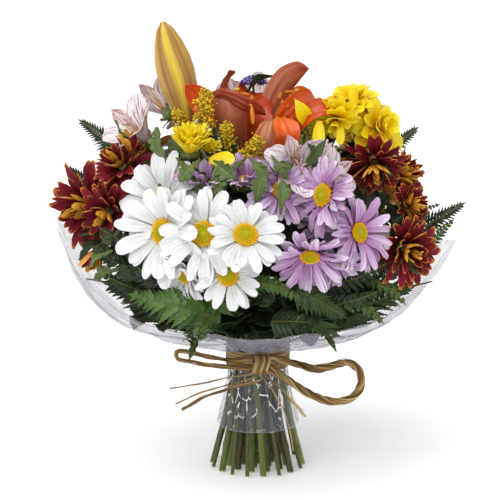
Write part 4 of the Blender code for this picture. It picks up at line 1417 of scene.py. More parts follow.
class BOUQUET_OT_alstroemerias(Operator):
    """Adds the alstroemerias"""

    bl_idname = "bouquet.alstroemerias"
    bl_label = "Alstroemerias"

    def execute(self, context):
        thickness = chosen().alstroemerias.thickness
        for seed, name in enumerate(nodes_called("alstroemeria"), 91):
            rng = random.Random(seed)
            blooms = blooms_of(name)
            petals, streaked, greens, leaves = Draft(), Draft(), Draft(), Draft()
            _, twigs = stems_and_twigs(greens, name, blooms, rng, radius=0.0028, tone=0.75)
            leaves_on(leaves, twigs, rng, count=3, length=0.040, width=0.009, tone=(0.3, 0.9))
            placed_leaves(leaves, name, rng)
            for bloom in blooms:
                bloom = bloom._replace(eye=bloom.eye - UP * HEAD_DROPS.get((name, bloom.kind), 0.0))
                if bloom.kind == "bud":
                    small_bud(petals, greens, bloom, rng)
                else:
                    alstroemeria(petals, streaked, greens, bloom, rng)
            petals.finish(name, "petals", ["alstroemeria"], thickness)
            streaked.finish(name, "inner_petals", ["streaked"], thickness)
            finish_greens(name, greens, leaves)
        return {"FINISHED"}


# How much lower in the bunch each of a stem's plumes sits, and how much it has grown
PLUME_CHANGES = {
    "goldenrod_stem_1": ((0.016, 1.08), (0.012, 1)),
    "goldenrod_stem_2": ((0.017, 0.95), (0.021, 1)),
    "goldenrod_stem_3": ((0.034, 1), (0.03, 1)),
}
PLUME_TWIGS = 44
PLUME_STEPS = 12
FLORET_SPREAD = 0.0011
TUFT_CUPS = 46
STATICE_CUP = ((-5, 0.4), (-1.5, 0.9), (0, 2.4), (-0.6, 1.2))


def plume(florets, greens, bloom, rng):
    """A goldenrod plume: short arching side sprays, thickly set with small florets."""
    length = bloom.radius * 6.2
    base = bloom.eye - bloom.facing * bloom.radius * 4.4
    lean = (bloom.facing + Vector((rng.uniform(-0.3, 0.3), rng.uniform(-0.3, 0.3), 0))).normalized()
    top = base + (bloom.facing + lean).normalized() * length
    axis = arc(base, bloom.facing * length * 0.5, top, lean * length * 0.3, PLUME_STEPS)
    floret = chosen().fillers.floret
    greens.tube(axis, 0.0008, sides=6, tone=0.8)
    for k in range(PLUME_TWIGS):
        share = 0.06 + 0.94 * k / (PLUME_TWIGS - 1)
        spot = axis[min(len(axis) - 1, int(share * PLUME_STEPS))]
        out = spoke(bloom.facing, k * TWIG_TURN)
        reach = length * (0.20 * (1 - share) + 0.07) * rng.uniform(0.75, 1.2)
        tip = spot + (out + bloom.facing * 0.7) * reach
        twig = arc(spot, (out + bloom.facing) * reach * 0.3, tip, out * reach * 0.3, 5)
        greens.tube(twig, 0.0003, sides=4, tone=0.8)
        for place in twig[1:]:
            for _ in range(3):
                nudge = Vector((rng.gauss(0, 1), rng.gauss(0, 1), rng.gauss(0, 1))) * FLORET_SPREAD
                way = (nudge + UP * 0.0006).normalized()
                florets.bead(place + nudge, way, floret * rng.uniform(0.8, 1.45), 1.35, rng.random())


def goldenrod(name, rng):
    """A stem of goldenrod with its plumes."""
    blooms = blooms_of(name)
    florets, greens, leaves = Draft(), Draft(), Draft()
    _, twigs = stems_and_twigs(greens, name, blooms, rng, radius=0.0024, tone=0.5)
    leaves_on(leaves, twigs, rng, count=2, length=0.030, width=0.007, tone=(0.3, 0.8))
    for bloom, (drop, grown_by) in zip(blooms, PLUME_CHANGES[name], strict=True):
        bloom = bloom._replace(eye=bloom.eye - UP * drop, radius=bloom.radius * grown_by)
        plume(florets, greens, bloom, rng)
    florets.finish(name, "florets", ["goldenrod"])
    finish_greens(name, greens, leaves)


def statice(name, rng):
    """A stem of statice with its tufts of papery cups, each round a pale floret."""
    blooms = blooms_of(name)
    cups, greens, leaves = Draft(), Draft(), Draft()
    stems_and_twigs(greens, name, blooms, rng, radius=0.0024, tone=0.5)
    placed_leaves(leaves, name, rng)
    for bloom in blooms:
        for k in range(TUFT_CUPS):
            spread = sqrt(k / TUFT_CUPS)
            out = spoke(bloom.facing, k * TWIG_TURN)
            way = (bloom.facing * (1.2 - spread * 0.5) + out * spread).normalized()
            tip = bloom.eye - bloom.facing * (bloom.radius * 0.5 + 0.016) + way * bloom.radius * 1.15
            cups.turned(tip, way, STATICE_CUP, MM, sides=8, tone=rng.random() * 0.8, flute=0.15, flutes=4)
            cups.bead(tip, way, 0.0008, 1.2, 1.0)
    cups.finish(name, "calyces", ["statice"])
    finish_greens(name, greens, leaves)


class BOUQUET_OT_fillers(Operator):
    """Adds the goldenrod and the statice"""

    bl_idname = "bouquet.fillers"
    bl_label = "Goldenrod and statice"

    def execute(self, context):
        for seed, name in enumerate(nodes_called("goldenrod"), 111):
            goldenrod(name, random.Random(seed))
        for seed, name in enumerate(nodes_called("statice"), 121):
            statice(name, random.Random(seed))
        return {"FINISHED"}


# A lily petal: its route from the throat and its width in millimetres, its way
# across, how it is cupped, its tone, from brick red to bright, and its outline
Tepal = namedtuple("Tepal", "route width across cup tone outline", defaults=(0.3, 0.8, LILY_OUTLINE))
LILY_TEPALS = {
    "lily_bloom_left": (
        Tepal(((-2, -2, 2), (-13, -3, 10), (-23, -7, 23), (-33, -9, 34), (-41, -12, 42), (-46, -16, 47)),
              23, (1, 0, 1), 0.3, 0.95),
        Tepal(((-2, 8, 14), (-9, 7, 32), (-14, 5, 42), (-13, 2, 49), (-9, -2, 55), (-6, -6, 58)), 12,
              (-1, 0, 0), 0.5, 0.25, CURL_OUTLINE),
        Tepal(((-2, -18, -18), (-4, -23, -8), (-7, -31, 10), (-9, -35, 24), (-10, -34, 35), (-9, -29, 42)),
              26, (-1, 0, 0), 0.38, 0.42, FLAP_OUTLINE),
        Tepal(((-25, -24, 40), (-16, -37, 42), (-6, -42, 39), (4, -41, 33), (14, -34, 27), (20, -24, 23)),
              13, (0.1, 0.3, -1), -0.3, 0.12),
        Tepal(((1, -7, -4), (8, -15, 12), (13, -17, 22), (19, -13, 29), (26, -9, 30)), 24, (0.8, 0, -0.6),
              0.4, 0.62),
        Tepal(((2, 8, 4), (4, 18, 24), (8, 28, 36), (12, 36, 34), (14, 40, 26)), 24, (1, 0, 0)),
        Tepal(((-4, 8, 4), (-14, 16, 20), (-22, 24, 32), (-30, 30, 32), (-35, 33, 25)), 22, (0.8, 0.6, 0)),
    ),
    "lily_bloom_right": (
        Tepal(((-15, -4, 6), (-13, 0, 22), (-8, 3, 36), (0, 3, 49), (11, -1, 58), (20, -8, 60)), 20,
              (-1, 0, 0.2), 0.45, 0.5),
        Tepal(((-12, -14, 6), (-4, -22, 17), (6, -24, 27), (15, -20, 34), (22, -11, 34), (25, -4, 27)), 21,
              (0.8, 0, -0.7), 0.35, 0.85),
        Tepal(((4, -22, 2), (9, -32, 14), (17, -39, 25), (27, -41, 31), (36, -39, 30), (43, -36, 25)), 16,
              (0.6, -0.5, -0.7), 0.4, 0.62),
        Tepal(((-4, -28, 22), (-2, -40, 20), (1, -47, 12), (0, -45, 3), (-1, -40, -4)), 21, (-1, 0, 0), 0.3,
              1),
        Tepal(((-10, -26, 20), (-14, -40, 18), (-17, -45, 8), (-20, -43, -2), (-24, -36, -12)), 19,
              (1, -0.3, 0), 0.35, 0.85),
        Tepal(((4, 8, 4), (10, 18, 22), (18, 28, 32), (26, 34, 28), (30, 37, 20)), 24, (1, 0, 0)),
        Tepal(((8, 2, 4), (20, 6, 20), (32, 12, 28), (42, 16, 24), (46, 18, 16)), 20, (0.3, -0.9, 0)),
    ),
}

# Anthers that hang clear of their lily, in millimetres: top and bottom
HANGING_ANTHERS = {"lily_bloom_left": ((-5.4, -62, 318), (-4.4, -62.5, 304))}
ANTHER_RADII = [0.0007, 0.0014, 0.0017, 0.0018, 0.0017, 0.0014, 0.0007]
ANTHER_HALF = 0.0045

# The bud's radius along it, both by its bloom's radius
BUD_PROFILE = (
    (0, 0.2), (0.25, 0.42), (0.9, 0.72), (1.8, 0.94), (2.6, 1), (3.4, 0.93), (4.2, 0.72), (4.9, 0.44),
    (5.2, 0.14),
)
BUD_LENGTH = 5.25


def lily(name, tepals, thickness):
    """An open lily: six recurved petals, six stamens with loose anthers, and a long pistil."""
    bloom = blooms_of(name)[0]
    petals, parts = Draft(), Draft()
    base = bloom.eye - bloom.facing * bloom.radius * 1.72
    for tepal in tepals:
        half = tepal.width * MM / 2
        shape = Shape(0, half, tepal.outline, tepal.cup, tip=0.03, ridge=0.0005, ridges=3, ruffle=0.0010)
        route = [base + Vector(place) * MM for place in tepal.route]
        petals.blade(route, shape, Vector(tepal.across), columns=14, rows=28, tone=tepal.tone)
    start = bloom.facing * bloom.radius
    for i in range(6):
        out = spoke(bloom.facing, radians(60 * i + 20))
        tip = base + bloom.facing * bloom.radius * 1.25 + out * bloom.radius * 0.42
        line = arc(base, start, tip, (bloom.facing + out * 0.8) * bloom.radius * 0.4, 10)
        parts.tube(line, 0.0009, sides=6, tone=0.8)
        half = out.cross(bloom.facing) * ANTHER_HALF
        anther = arc(tip - half, UP * 0.001, tip + half, -UP * 0.001, 6)
        parts.tube(anther, ANTHER_RADII, sides=8, tone=0.6)
    end = base + bloom.facing * bloom.radius * 1.6
    line = arc(base, start, end, bloom.facing * bloom.radius * 0.5, 8)
    parts.tube(line, [0.0013] * (len(line) - 1) + [0.0026], sides=8, tone=0.9)
    if name in HANGING_ANTHERS:
        top, bottom = (Vector(end) * MM for end in HANGING_ANTHERS[name])
        thread = arc(bloom.eye - bloom.facing * 0.03, bloom.facing * 0.014, top, -UP * 0.004, 10)
        parts.tube(thread, 0.0008, sides=6, tone=0.8)
        parts.tube(arc(top, -UP * 0.004, bottom, -UP * 0.004, 6), ANTHER_RADII, sides=8, tone=0.72)
    petals.finish(name, "petals", ["lily", "lily back"], thickness)
    parts.finish(name, "stamens", ["stamens"])
    return bloom


def lily_bud():
    """The closed bud: six ribbed petals pressed together, alternately broad and narrow."""
    bud = blooms_of("lily_bud")[0]
    base = bud.eye - bud.facing * bud.radius * 5.2
    right, up = axes_of(bud.facing)

    def place(u, v):
        along = v * BUD_LENGTH
        turn = FULL_TURN * u
        furrow = abs(sin(1.5 * turn)) ** 0.6
        radius = blend_along(BUD_PROFILE, along) * bud.radius * (0.84 + 0.16 * furrow)
        bow = bud.radius * 0.25 * sin(pi * v)
        across = right * (radius * cos(turn) - bow) - up * radius * sin(turn)
        return base + bud.facing * along * bud.radius + across

    def tone(u, v):
        across = (6 * u + 0.5 + 0.10 * sin(5 * v)) % 1
        band = abs(2 * across - 1)
        streak = 0.12 * noise.noise(Vector((60 * u, 3 * v, 0.0)))
        rib = 0.92 - 0.55 * band**1.4 if int(6 * u + 0.5) % 2 == 0 else 0.62 - 0.35 * band**2
        line = 0.30 * exp(-(((band - 0.72) / 0.10) ** 2))
        return min(1.0, max(0.0, rib - line + streak))

    draft = Draft()
    draft.grid(96, 40, place, tone)
    draft.finish("lily_bud", "skin", ["bud"])
    return bud


class BOUQUET_OT_lilies(Operator):
    """Adds the two open lilies, the closed bud and their stem"""

    bl_idname = "bouquet.lilies"
    bl_label = "Lilies"

    def execute(self, context):
        thickness = chosen().lilies.thickness
        blooms = [lily(name, tepals, thickness) for name, tepals in LILY_TEPALS.items()] + [lily_bud()]
        rng = random.Random(139)
        greens, leaves = Draft(), Draft()
        _, twigs = stems_and_twigs(greens, "lily_stem", blooms, rng, radius=0.0033, tone=0.6)
        leaves_on(leaves, twigs, rng, count=3, length=0.05, width=0.011, tone=(0.3, 0.8))
        finish_greens("lily_stem", greens, leaves)
        return {"FINISHED"}


# The branches of the front fronds that lie along the film's edge: route in millimetres,
# leaflet length, how many pairs, their face and their tone, high for the lit ones in front and low, as
# painted shade, for those further in
FROND_BRANCHES = {
    "fern_frond_01": (
        (
            ((-30, -110, 156), (-54, -121, 165), (-78, -118, 170), (-100, -106, 173)),
            30, 15, (-0.1, -1, 0.5), 0.95,
        ),
        (((-40, -122, 158), (-47, -141, 152), (-53, -151, 137)), 9, 9, (-0.2, -1, 0.2), 0.9),
        (
            ((-34, -116, 164), (-12, -126, 184), (10, -130, 187), (32, -127, 174)),
            18, 16, (0.1, -0.9, 0.5), 0.85,
        ),
    ),
    "fern_frond_02": (
        (((30, -114, 178), (48, -122, 171), (67, -120, 159)), 18, 12, (0.2, -1, 0.4), 0.45),
        (((10, -108, 152), (34, -120, 154), (58, -118, 150)), 18, 12, (0.1, -1, 0.6), 0.15),
    ),
    "fern_frond_03": (
        (((92, -84, 182), (107, -90, 174), (118, -90, 162)), 10, 6, (0.4, -1, 0.3), 0.75),
        (((74, -92, 168), (88, -98, 160), (100, -98, 148)), 10, 6, (0.3, -1, 0.3), 0.85),
        (((64, -80, 200), (82, -88, 206), (100, -86, 220)), 16, 9, (0.3, -1, 0.3), 0.12),
        (((56, -88, 178), (78, -96, 184), (102, -94, 196)), 16, 10, (0.2, -1, 0.4), 0.2),
        (((50, -94, 160), (72, -102, 166), (94, -102, 174)), 15, 10, (0.2, -1, 0.5), 0.4),
        (((104, -50, 206), (122, -58, 216), (138, -58, 230)), 13, 8, (0.6, -0.9, 0.2), 0.2),
        (((112, -50, 184), (136, -52, 200), (160, -44, 222)), 14, 17, (0.2, -1, 0.4), 0.4),
        (((104, -46, 220), (128, -40, 228), (150, -30, 233)), 9, 15, (0.1, -1, 0.5), 0.35),
    ),
    "fern_frond_09": (
        (((-98, -62, 182), (-116, -70, 192), (-134, -72, 204)), 16, 9, (-0.5, -0.9, 0.4), 0.3),
        (((-90, -62, 198), (-108, -70, 208), (-128, -70, 220)), 15, 8, (-0.5, -0.9, 0.4), 0.12),
        (((-92, -74, 168), (-108, -82, 176), (-124, -84, 184)), 16, 9, (-0.3, -1, 0.5), 0.2),
        (((-80, -84, 176), (-94, -94, 190), (-104, -94, 204)), 15, 8, (-0.3, -1, 0.3), 0.15),
    ),
}
HANGING_FRONDS = ("fern_frond_01", "fern_frond_02")


# A broad and a narrow frond: how long the leaflets are and how many pairs there are, how
# wide half of a frond is that counts as broad and where its leaflets begin, and how far
# apart a leaflet's teeth are
BROAD_FROND, NARROW_FROND = (0.042, 19), (0.019, 20)
BROAD_HALF, FIRST_HALF = 0.02, 0.004
TOOTH_SPACING = 0.0042
FROND_STEPS = 26


def frond(name, rng):
    """A frond that droops over the film: toothed leaflets on both sides of its midrib, faces outwards."""
    bm = merged_copy(name)
    lower = lower_path(bm)
    tip = max((vert.co for vert in bm.verts), key=lambda spot: spot.xy.length).copy()
    out = Vector((tip.x, tip.y, 0)).normalized()
    side = Vector((-out.y, out.x, 0))
    line, halves = [], []
    reach = tip.dot(out)
    start = lower[-1].dot(out) + 0.006
    for i in range(FROND_STEPS):
        spots = crossings(bm, out, start + (reach - 0.001 - start) * i / (FROND_STEPS - 1), 0.1)
        if spots:
            line.append(middle_of(spots))
            halves.append(max(abs((spot - line[-1]).dot(side)) for spot in spots))
    bm.free()
    leaflets, greens = Draft(), Draft()
    path = smooth_route(lower, 0.01) + line
    greens.tube(path, [0.0017 - 0.0011 * i / len(path) for i in range(len(path))], sides=8, tone=0.3)
    greens.cut_flat()
    broad = max(halves) > BROAD_HALF
    first = next(i for i, half in enumerate(halves) if half > FIRST_HALF)
    frontward = -1 if out.y < 0.3 else 1
    face = UP * 0.8 + out * 0.9 + Vector((0, frontward * 1.6 * abs(out.x), 0))
    tone = rng.uniform(0.1, 0.5)
    end = len(line) if not broad or name in HANGING_FRONDS else int(0.86 * len(line))
    columns = 4 if name in FROND_BRANCHES else 2
    size, pairs = BROAD_FROND if broad else NARROW_FROND
    leaflet_rows(leaflets, line[first:end], size, pairs, face, tone, rng, columns=columns)
    for places, size, pairs, face, tone in FROND_BRANCHES.get(name, ()):
        route = smooth_route([Vector(place) * MM for place in places], 0.004)
        greens.tube(route, 0.0006, sides=6, tone=0.35)
        leaflet_rows(leaflets, route, size * MM, pairs, Vector(face), tone, rng, free=True)
    leaflets.finish(name, "leaflets", ["fern"], PETAL_THICKNESS)
    greens.finish(name, "midrib", ["stem"])


def leaflet_rows(leaflets, line, size, pairs, face, tone, rng, free=False, columns=4):
    """Toothed leaflets on both sides of a rib, shorter towards its tip. Unless free, they clear the film."""
    lengths = distances_along(line)
    for k in range(pairs):
        share = (k + 0.25) / pairs
        i, spot = at_distance(line, lengths, lengths[-1] * share)
        along = (line[i + 1] - line[i]).normalized()
        level = square_to(face, along)
        across = along.cross(level)
        long = size * (1 - 0.80 * share**1.2) * (0.80 + 0.20 * min(1, 4 * share))
        for hand in (-1, 1):
            way = (across * hand + along * (0.50 + 0.7 * share) - level * rng.uniform(0, 0.3)).normalized()
            length = long * rng.uniform(0.9, 1.1)
            if not free:
                way = clear_of_film(spot, way, length, 0.2 * length + 0.004)
            teeth = max(2, round(length / TOOTH_SPACING))
            wide = max(1.25 * lengths[-1] / pairs, 0.46 * length if free else 0.30 * length)
            leaflets.petal(
                spot, way, square_to(level, way), length, wide, PINNA_OUTLINE, rise=rng.uniform(-5, 10),
                curl=rng.uniform(-40, -10), cup=0.25, sweep=0.13, twist=rng.uniform(-20, 20), sag=0.08,
                teeth=teeth, tooth=0.5, columns=columns, rows=2 * teeth, tone=tone + rng.uniform(-0.15, 0.25),
            )
    end = (line[-1] - line[-2]).normalized()
    leaflets.petal(
        line[-1] - end * 0.3 * size, end, square_to(face, end), 0.55 * size, 0.2 * size, PINNA_OUTLINE,
        curl=-20, sweep=0.13, teeth=4, tooth=0.5, columns=4, rows=8, tone=tone,
    )


class BOUQUET_OT_ferns(Operator):
    """Adds the fern fronds"""

    bl_idname = "bouquet.ferns"
    bl_label = "Fern fronds"

    def execute(self, context):
        for seed, name in enumerate(nodes_called("fern_frond"), 151):
            frond(name, random.Random(seed))
        return {"FINISHED"}


# Film

FILM_COLUMNS, SKIRT_ROWS, COLLAR_ROWS = 216, 22, 46
SKIRT_FOOT, SKIRT_TOP = 0.0372, 0.1075

SKIRT_PLEATS, COLLAR_PLEATS = 19, 13

# The place and the tilts that the collar's section fans out from, the place that its
# facets stand away from, and how far apart the corners of its rim may be, in radians
COLLAR_PIVOT = Vector((0, 0, 0.235))
COLLAR_TILTS = [radians(-88 + 0.25 * j) for j in range(1, 400)]
COLLAR_CENTRE = Vector((0, 0, 0.24))
LEAST_CORNER, MOST_CORNER = 0.35, 0.62

# How far along a ray the film is looked for
FILM_REACH = 0.4

# How many facets there are to a radian, how much finer the small creases are, and how
# far the rim is drawn sideways at the left and at the right
FACETS = 6.5
FINER = 2.1
LEFT_PULL, RIGHT_PULL = -0.006, 0.004


def film_middle(origin, way):
    """The middle of the film's wall along a ray."""
    spots = []
    start = origin.copy()
    for _ in range(2):
        hit = film_tree().ray_cast(start, way, FILM_REACH)[0]
        if hit is None:
            break
        spots.append(hit)
        start = hit + way * 1e-5
    return middle_of(spots) if spots else None


def film_line(angle):
    """The film's section at an angle round the bouquet, evenly up the skirt and out to the collar's rim."""
    out = spoke(UP, angle)
    heights = [SKIRT_FOOT + (SKIRT_TOP - SKIRT_FOOT) * j / SKIRT_ROWS for j in range(SKIRT_ROWS + 1)]
    line = [film_middle(UP * height, out) for height in heights]
    fan = []
    for tilt in COLLAR_TILTS:
        spot = film_middle(COLLAR_PIVOT, out * cos(tilt) + UP * sin(tilt))
        if spot is not None and spot.z >= SKIRT_TOP:
            fan.append(spot)
        elif spot is None and fan:
            break
    collar = [line[-1]] + fan
    lengths = distances_along(collar)
    for j in range(1, COLLAR_ROWS + 1):
        line.append(at_distance(collar, lengths, lengths[-1] * (j / COLLAR_ROWS) ** 1.15)[1])
    return line


def rim_corners():
    """The angles of the rim's corners, all the way round."""
    corners = [0.0]
    rng = random.Random(161)
    while corners[-1] < FULL_TURN - LEAST_CORNER:
        corners.append(corners[-1] + rng.uniform(LEAST_CORNER, MOST_CORNER))
    return corners[:-1] + [FULL_TURN]


def straight_rim(corners, angle):
    """How far in the rim comes, by its radius, between two corners that a straight edge joins."""
    near, far = next((a, b) for a, b in zip(corners, corners[1:]) if angle % FULL_TURN <= b)
    return cos((far - near) / 2) / cos(angle % FULL_TURN - (near + far) / 2)


def fold(angle, j):
    """How near the film is to a broad crease and to a fine one here, from 0 on them."""
    along = (j - SKIRT_ROWS) * (0.045 if j > SKIRT_ROWS else 0.11)
    domain = Vector((FACETS * cos(angle), FACETS * sin(angle), along + 40.0))
    near = noise.voronoi(domain)[0]
    fine = noise.voronoi(domain * FINER)[0]
    return near[1] - near[0], fine[1] - fine[0]


def build_film(chose):
    """The sheet: a crumpled skirt, and a pleated collar with flat facets and a rim of straight edges."""
    rows = SKIRT_ROWS + COLLAR_ROWS
    lines = [film_line(FULL_TURN * i / FILM_COLUMNS) for i in range(FILM_COLUMNS)]
    corners = rim_corners()

    def place(u, v):
        j = round(v * rows)
        spot = lines[round(u * FILM_COLUMNS) % FILM_COLUMNS][j]
        angle = FULL_TURN * u
        broad, fine = fold(angle, j)
        if j <= SKIRT_ROWS:
            out = spoke(UP, angle)
            free = max(0.0, 1 - j / (SKIRT_ROWS - 6))
            pleat = 0.0009 * sin(SKIRT_PLEATS * angle + 2 * sin(3 * angle)) * (1 - 0.6 * free)
            return spot + out * (pleat + (0.0022 * (broad - 0.3) + 0.0010 * fine) * (0.15 + free))
        share = (j - SKIRT_ROWS) / COLLAR_ROWS
        drawn = 1 + (straight_rim(corners, angle) - 1) * share
        pull = LEFT_PULL if spot.x < 0 else RIGHT_PULL
        spot = Vector((spot.x * drawn, spot.y * drawn, spot.z))
        spot.x += abs(cos(angle)) * share * share * pull
        away = (spot - COLLAR_CENTRE).normalized()
        ripple = sin(COLLAR_PLEATS * angle + 2.5 * sin(2 * angle))
        pleat = 0.0020 * ripple * sin(pi * min(1, share * 1.3))
        facet = chose.crease * (broad - 0.3) + 0.0007 * fine
        return spot + away * (pleat + facet * min(1.0, max(0.1, share * 2.5 - 0.1)))

    def tone(u, v):
        """How creased the film is, as the finish paints it white: short bright strokes on the skirt, painted
        glints, and long ones on the collar, partly real whitening and partly painted highlight.
        """
        j = round(v * rows)
        angle = FULL_TURN * u
        across, around = 7 * cos(angle), 7 * sin(angle)
        seen = 0.45 + 1.5 * noise.noise(Vector((across, around, 0.14 * j + 9)))
        if j < SKIRT_ROWS:
            ripple = noise.noise(Vector((1.3 * across, 1.3 * around, 0.16 * j)))
            mark = 1.1 - abs(ripple) / 0.05
        else:
            broad, fine = fold(angle, j)
            mark = max(1 - broad / 0.06, 0.45 * (1 - fine / 0.05))
        mark = max(0.0, mark) * min(1.0, max(0.0, seen))
        return min(1.0, max(mark, 0.6 if j in (0, rows) else 0.0))

    draft = Draft()
    draft.grid(FILM_COLUMNS, rows, place, tone)
    film = draft.finish("film_collar", "sheet", ["film"], chose.thickness)


class BOUQUET_OT_film(Operator):
    """Adds the clear film's collar and skirt"""

    bl_idname = "bouquet.film"
    bl_label = "Clear film"

    def execute(self, context):
        build_film(chosen().film)
        return {"FINISHED"}


# Raffia

KNOT_LOW, KNOT_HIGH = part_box("raffia_knot")
KNOT_CENTRE = (KNOT_LOW + KNOT_HIGH) / 2
KNOT_RADII = (KNOT_HIGH - KNOT_LOW) / 2
CLEARANCE = 0.0003
KNOT_LEAD = 0.004
CORD_SPACING = 0.003
STRAND_RADIUS = 0.0013
BAND_STRANDS, KNOT_STRANDS, TAIL_STRANDS = 12, 10, 3
BAND_STEPS, KNOT_STEPS = 72, 24

# How many times the strands go round each other from end to end
LOOP_TURNS = {"raffia_loop_left": 1.4, "raffia_loop_right": 3.6}
TAIL_TURNS = 0.6

# The bow's free raffia. Each cord leaves the knot towards its first vector, and a
# loop comes back to the knot from its last. Between them are its own route points.
Cord = namedtuple("Cord", "radius leaves route returns")
CORDS = {
    "raffia_loop_left": Cord(0.0022, (-1, -0.1, 0.45), (
        (-0.022, -0.0395, 0.102), (-0.042, -0.045, 0.107), (-0.06, -0.05, 0.112), (-0.0675, -0.0515, 0.112),
        (-0.067, -0.052, 0.1067), (-0.058, -0.05, 0.104), (-0.04, -0.045, 0.099), (-0.022, -0.039, 0.0962),
    ), (-1, -0.1, -0.2)),
    "raffia_loop_right": Cord(0.0034, (1, -0.1, 0.45), (
        (0.032, -0.04, 0.099), (0.048, -0.045, 0.0965), (0.06, -0.048, 0.0995), (0.073, -0.05, 0.103),
        (0.0825, -0.051, 0.0985), (0.0865, -0.051, 0.088), (0.0835, -0.051, 0.0775), (0.074, -0.05, 0.0705),
        (0.06, -0.048, 0.069), (0.044, -0.045, 0.0735), (0.027, -0.04, 0.0835),
    ), (1, -0.2, -0.5)),
    "raffia_tail_1": Cord(0.001, (-0.8, -0.3, -0.7), (
        (-0.024, -0.042, 0.088), (-0.046, -0.0475, 0.0845), (-0.074, -0.052, 0.081),
    ), None),
    "raffia_tail_2": Cord(0.001, (-0.5, -0.5, -0.9), (
        (-0.022, -0.045, 0.083), (-0.045, -0.05, 0.078), (-0.069, -0.053, 0.068),
    ), None),
    "raffia_tail_3": Cord(0.0018, (0.02, -0.1, -1), (
        (-0.02, -0.04, 0.079), (-0.043, -0.046, 0.073), (-0.064, -0.049, 0.062),
    ), None),
    "raffia_tail_4": Cord(0.0014, (0.35, -0.6, -0.72), (
        (0.018, -0.043, 0.079), (0.029, -0.045, 0.068), (0.04, -0.046, 0.055),
    ), None),
    "raffia_tail_5": Cord(0.0008, (0, -0.75, -0.66), (
        (0.013, -0.045, 0.076), (0.0235, -0.045, 0.055), (0.03, -0.045, 0.025),
    ), None),
}


def knot_seat(direction):
    """The place just off the knot's surface on this side of it, and the way out from there."""
    spot = Vector(direction).normalized() * KNOT_RADII
    way = Vector([spot[i] / KNOT_RADII[i] ** 2 for i in range(3)]).normalized()
    return KNOT_CENTRE + spot + way * CLEARANCE, way


def cord_path(cord):
    """The smooth line of a cord from its seat on the knot to its end."""
    seat, way = knot_seat(cord.leaves)
    route = [seat, seat + way * KNOT_LEAD] + [Vector(place) for place in cord.route]
    if cord.returns:
        seat, way = knot_seat(cord.returns)
        route += [seat + way * KNOT_LEAD, seat]
    return smooth_route(route, CORD_SPACING)


def strands(draft, path, radius, count, turns, rng):
    """Flat raffia strands laid round each other along a path, with their edges up here and there."""
    frames = frames_along(path, UP)
    rows = len(path) - 1
    hank = count > TAIL_STRANDS
    for k in range(count):
        phase = FULL_TURN * k / count + rng.uniform(-0.3, 0.3)
        swing = radius * (rng.uniform(0.40, 0.80) if hank else 0.35)
        line = []
        for i, (spot, _, across, above) in enumerate(frames):
            turn = phase + FULL_TURN * turns * i / rows
            drift = swing * (1 + 0.22 * sin(7 * pi * i / rows + 2 * k))
            line.append(spot + (across * cos(turn) + above * sin(turn)) * drift)
        thick = radius * (0.245 if hank else 0.6) * rng.uniform(0.7, 1.25)
        radii = [thick * (1 + 0.16 * sin(0.9 * i + 2 * k)) for i in range(rows + 1)]
        twist = rng.uniform(1500, 4000)
        draft.tube(line, radii, sides=6, tone=rng.random(), hint=UP, flat=0.4, twist=twist)


def wound_band(rng):
    """The strands wound round the waist, each a little askew."""
    low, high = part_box("raffia_band")
    draft = Draft()
    for k in range(BAND_STRANDS):
        height = low.z + 0.0014 + (high.z - low.z - 0.0028) * (k + 0.5) / BAND_STRANDS
        tilt = rng.uniform(-0.002, 0.002)
        path = []
        for i in range(BAND_STEPS + 1):
            angle = FULL_TURN * i / BAND_STEPS - pi / 2
            radius = high.x - 0.0014 + 0.0003 * sin(3 * angle + k)
            rise = height + tilt * sin(angle + k)
            path.append(Vector((radius * cos(angle), radius * sin(angle), rise)))
        draft.tube(path, STRAND_RADIUS, sides=6, tone=rng.random(), hint=UP, flat=0.5)
    draft.finish("raffia_band", "turns", ["raffia"])


def wound_knot(rng):
    """The strands wound over the middle of the bow, round a core."""
    draft = Draft()
    for k in range(KNOT_STRANDS):
        share = (k + 0.5) / KNOT_STRANDS - 0.5
        path = []
        for i in range(KNOT_STEPS + 1):
            angle = pi * (i / KNOT_STEPS - 0.5) * 1.7
            spot = Vector((
                share * 1.7 * KNOT_RADII.x + 0.0015 * sin(2 * angle),
                -cos(angle) * KNOT_RADII.y * 0.9, sin(angle) * KNOT_RADII.z * 0.9,
            ))
            path.append(KNOT_CENTRE + spot * (1 - 0.35 * share * share))
        draft.tube(path, STRAND_RADIUS, sides=6, tone=rng.random(), hint=Vector((1, 0, 0)), flat=0.6)
    draft.bead(KNOT_CENTRE, UP, KNOT_RADII.x * 0.7, 1.0, 0.3)
    draft.finish("raffia_knot", "wraps", ["raffia"])


class BOUQUET_OT_raffia(Operator):
    """Adds the raffia bow: its band, knot, loops and tails"""

    bl_idname = "bouquet.raffia"
    bl_label = "Raffia bow"

    def execute(self, context):
        chose = chosen().raffia
        counts = {"raffia_loop_left": chose.left_strands, "raffia_loop_right": chose.right_strands}
        for seed, (name, cord) in enumerate(CORDS.items(), 171):
            path = cord_path(cord)
            draft = Draft()
            count = counts.get(name, TAIL_STRANDS)
            strands(draft, path, cord.radius, count, LOOP_TURNS.get(name, TAIL_TURNS), random.Random(seed))
            obj = draft.finish(name, "strands", ["raffia"])
            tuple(path[0])
            length_of(path)
        rng = random.Random(181)
        wound_band(rng)
        wound_knot(rng)
        return {"FINISHED"}


# Stage

CAMERA_TARGET = Vector((-0.0068, 0.0, 0.1886))
WHITE = (1.0, 1.0, 1.0, 1.0)
SUN_PLACE = Vector((-0.32, -0.62, 1.15))
FLOOR_HEIGHT, FLOOR_RADIUS = -0.0004, 30.0

# The soft lights: where each is, how wide it is, and its power
SOFT_LIGHTS = {
    "key": (Vector((-0.7, -1.3, 1.1)), 0.5, 3.5),
    "fill": (Vector((1.2, -0.9, 0.7)), 0.6, 1.2),
    "back": (Vector((0.4, 1.3, 1.3)), 0.8, 2.0),
}


def point_along(obj, way):
    """Turns a light or a camera to look this way."""
    obj.rotation_euler = way.to_track_quat("-Z", "Y").to_euler()


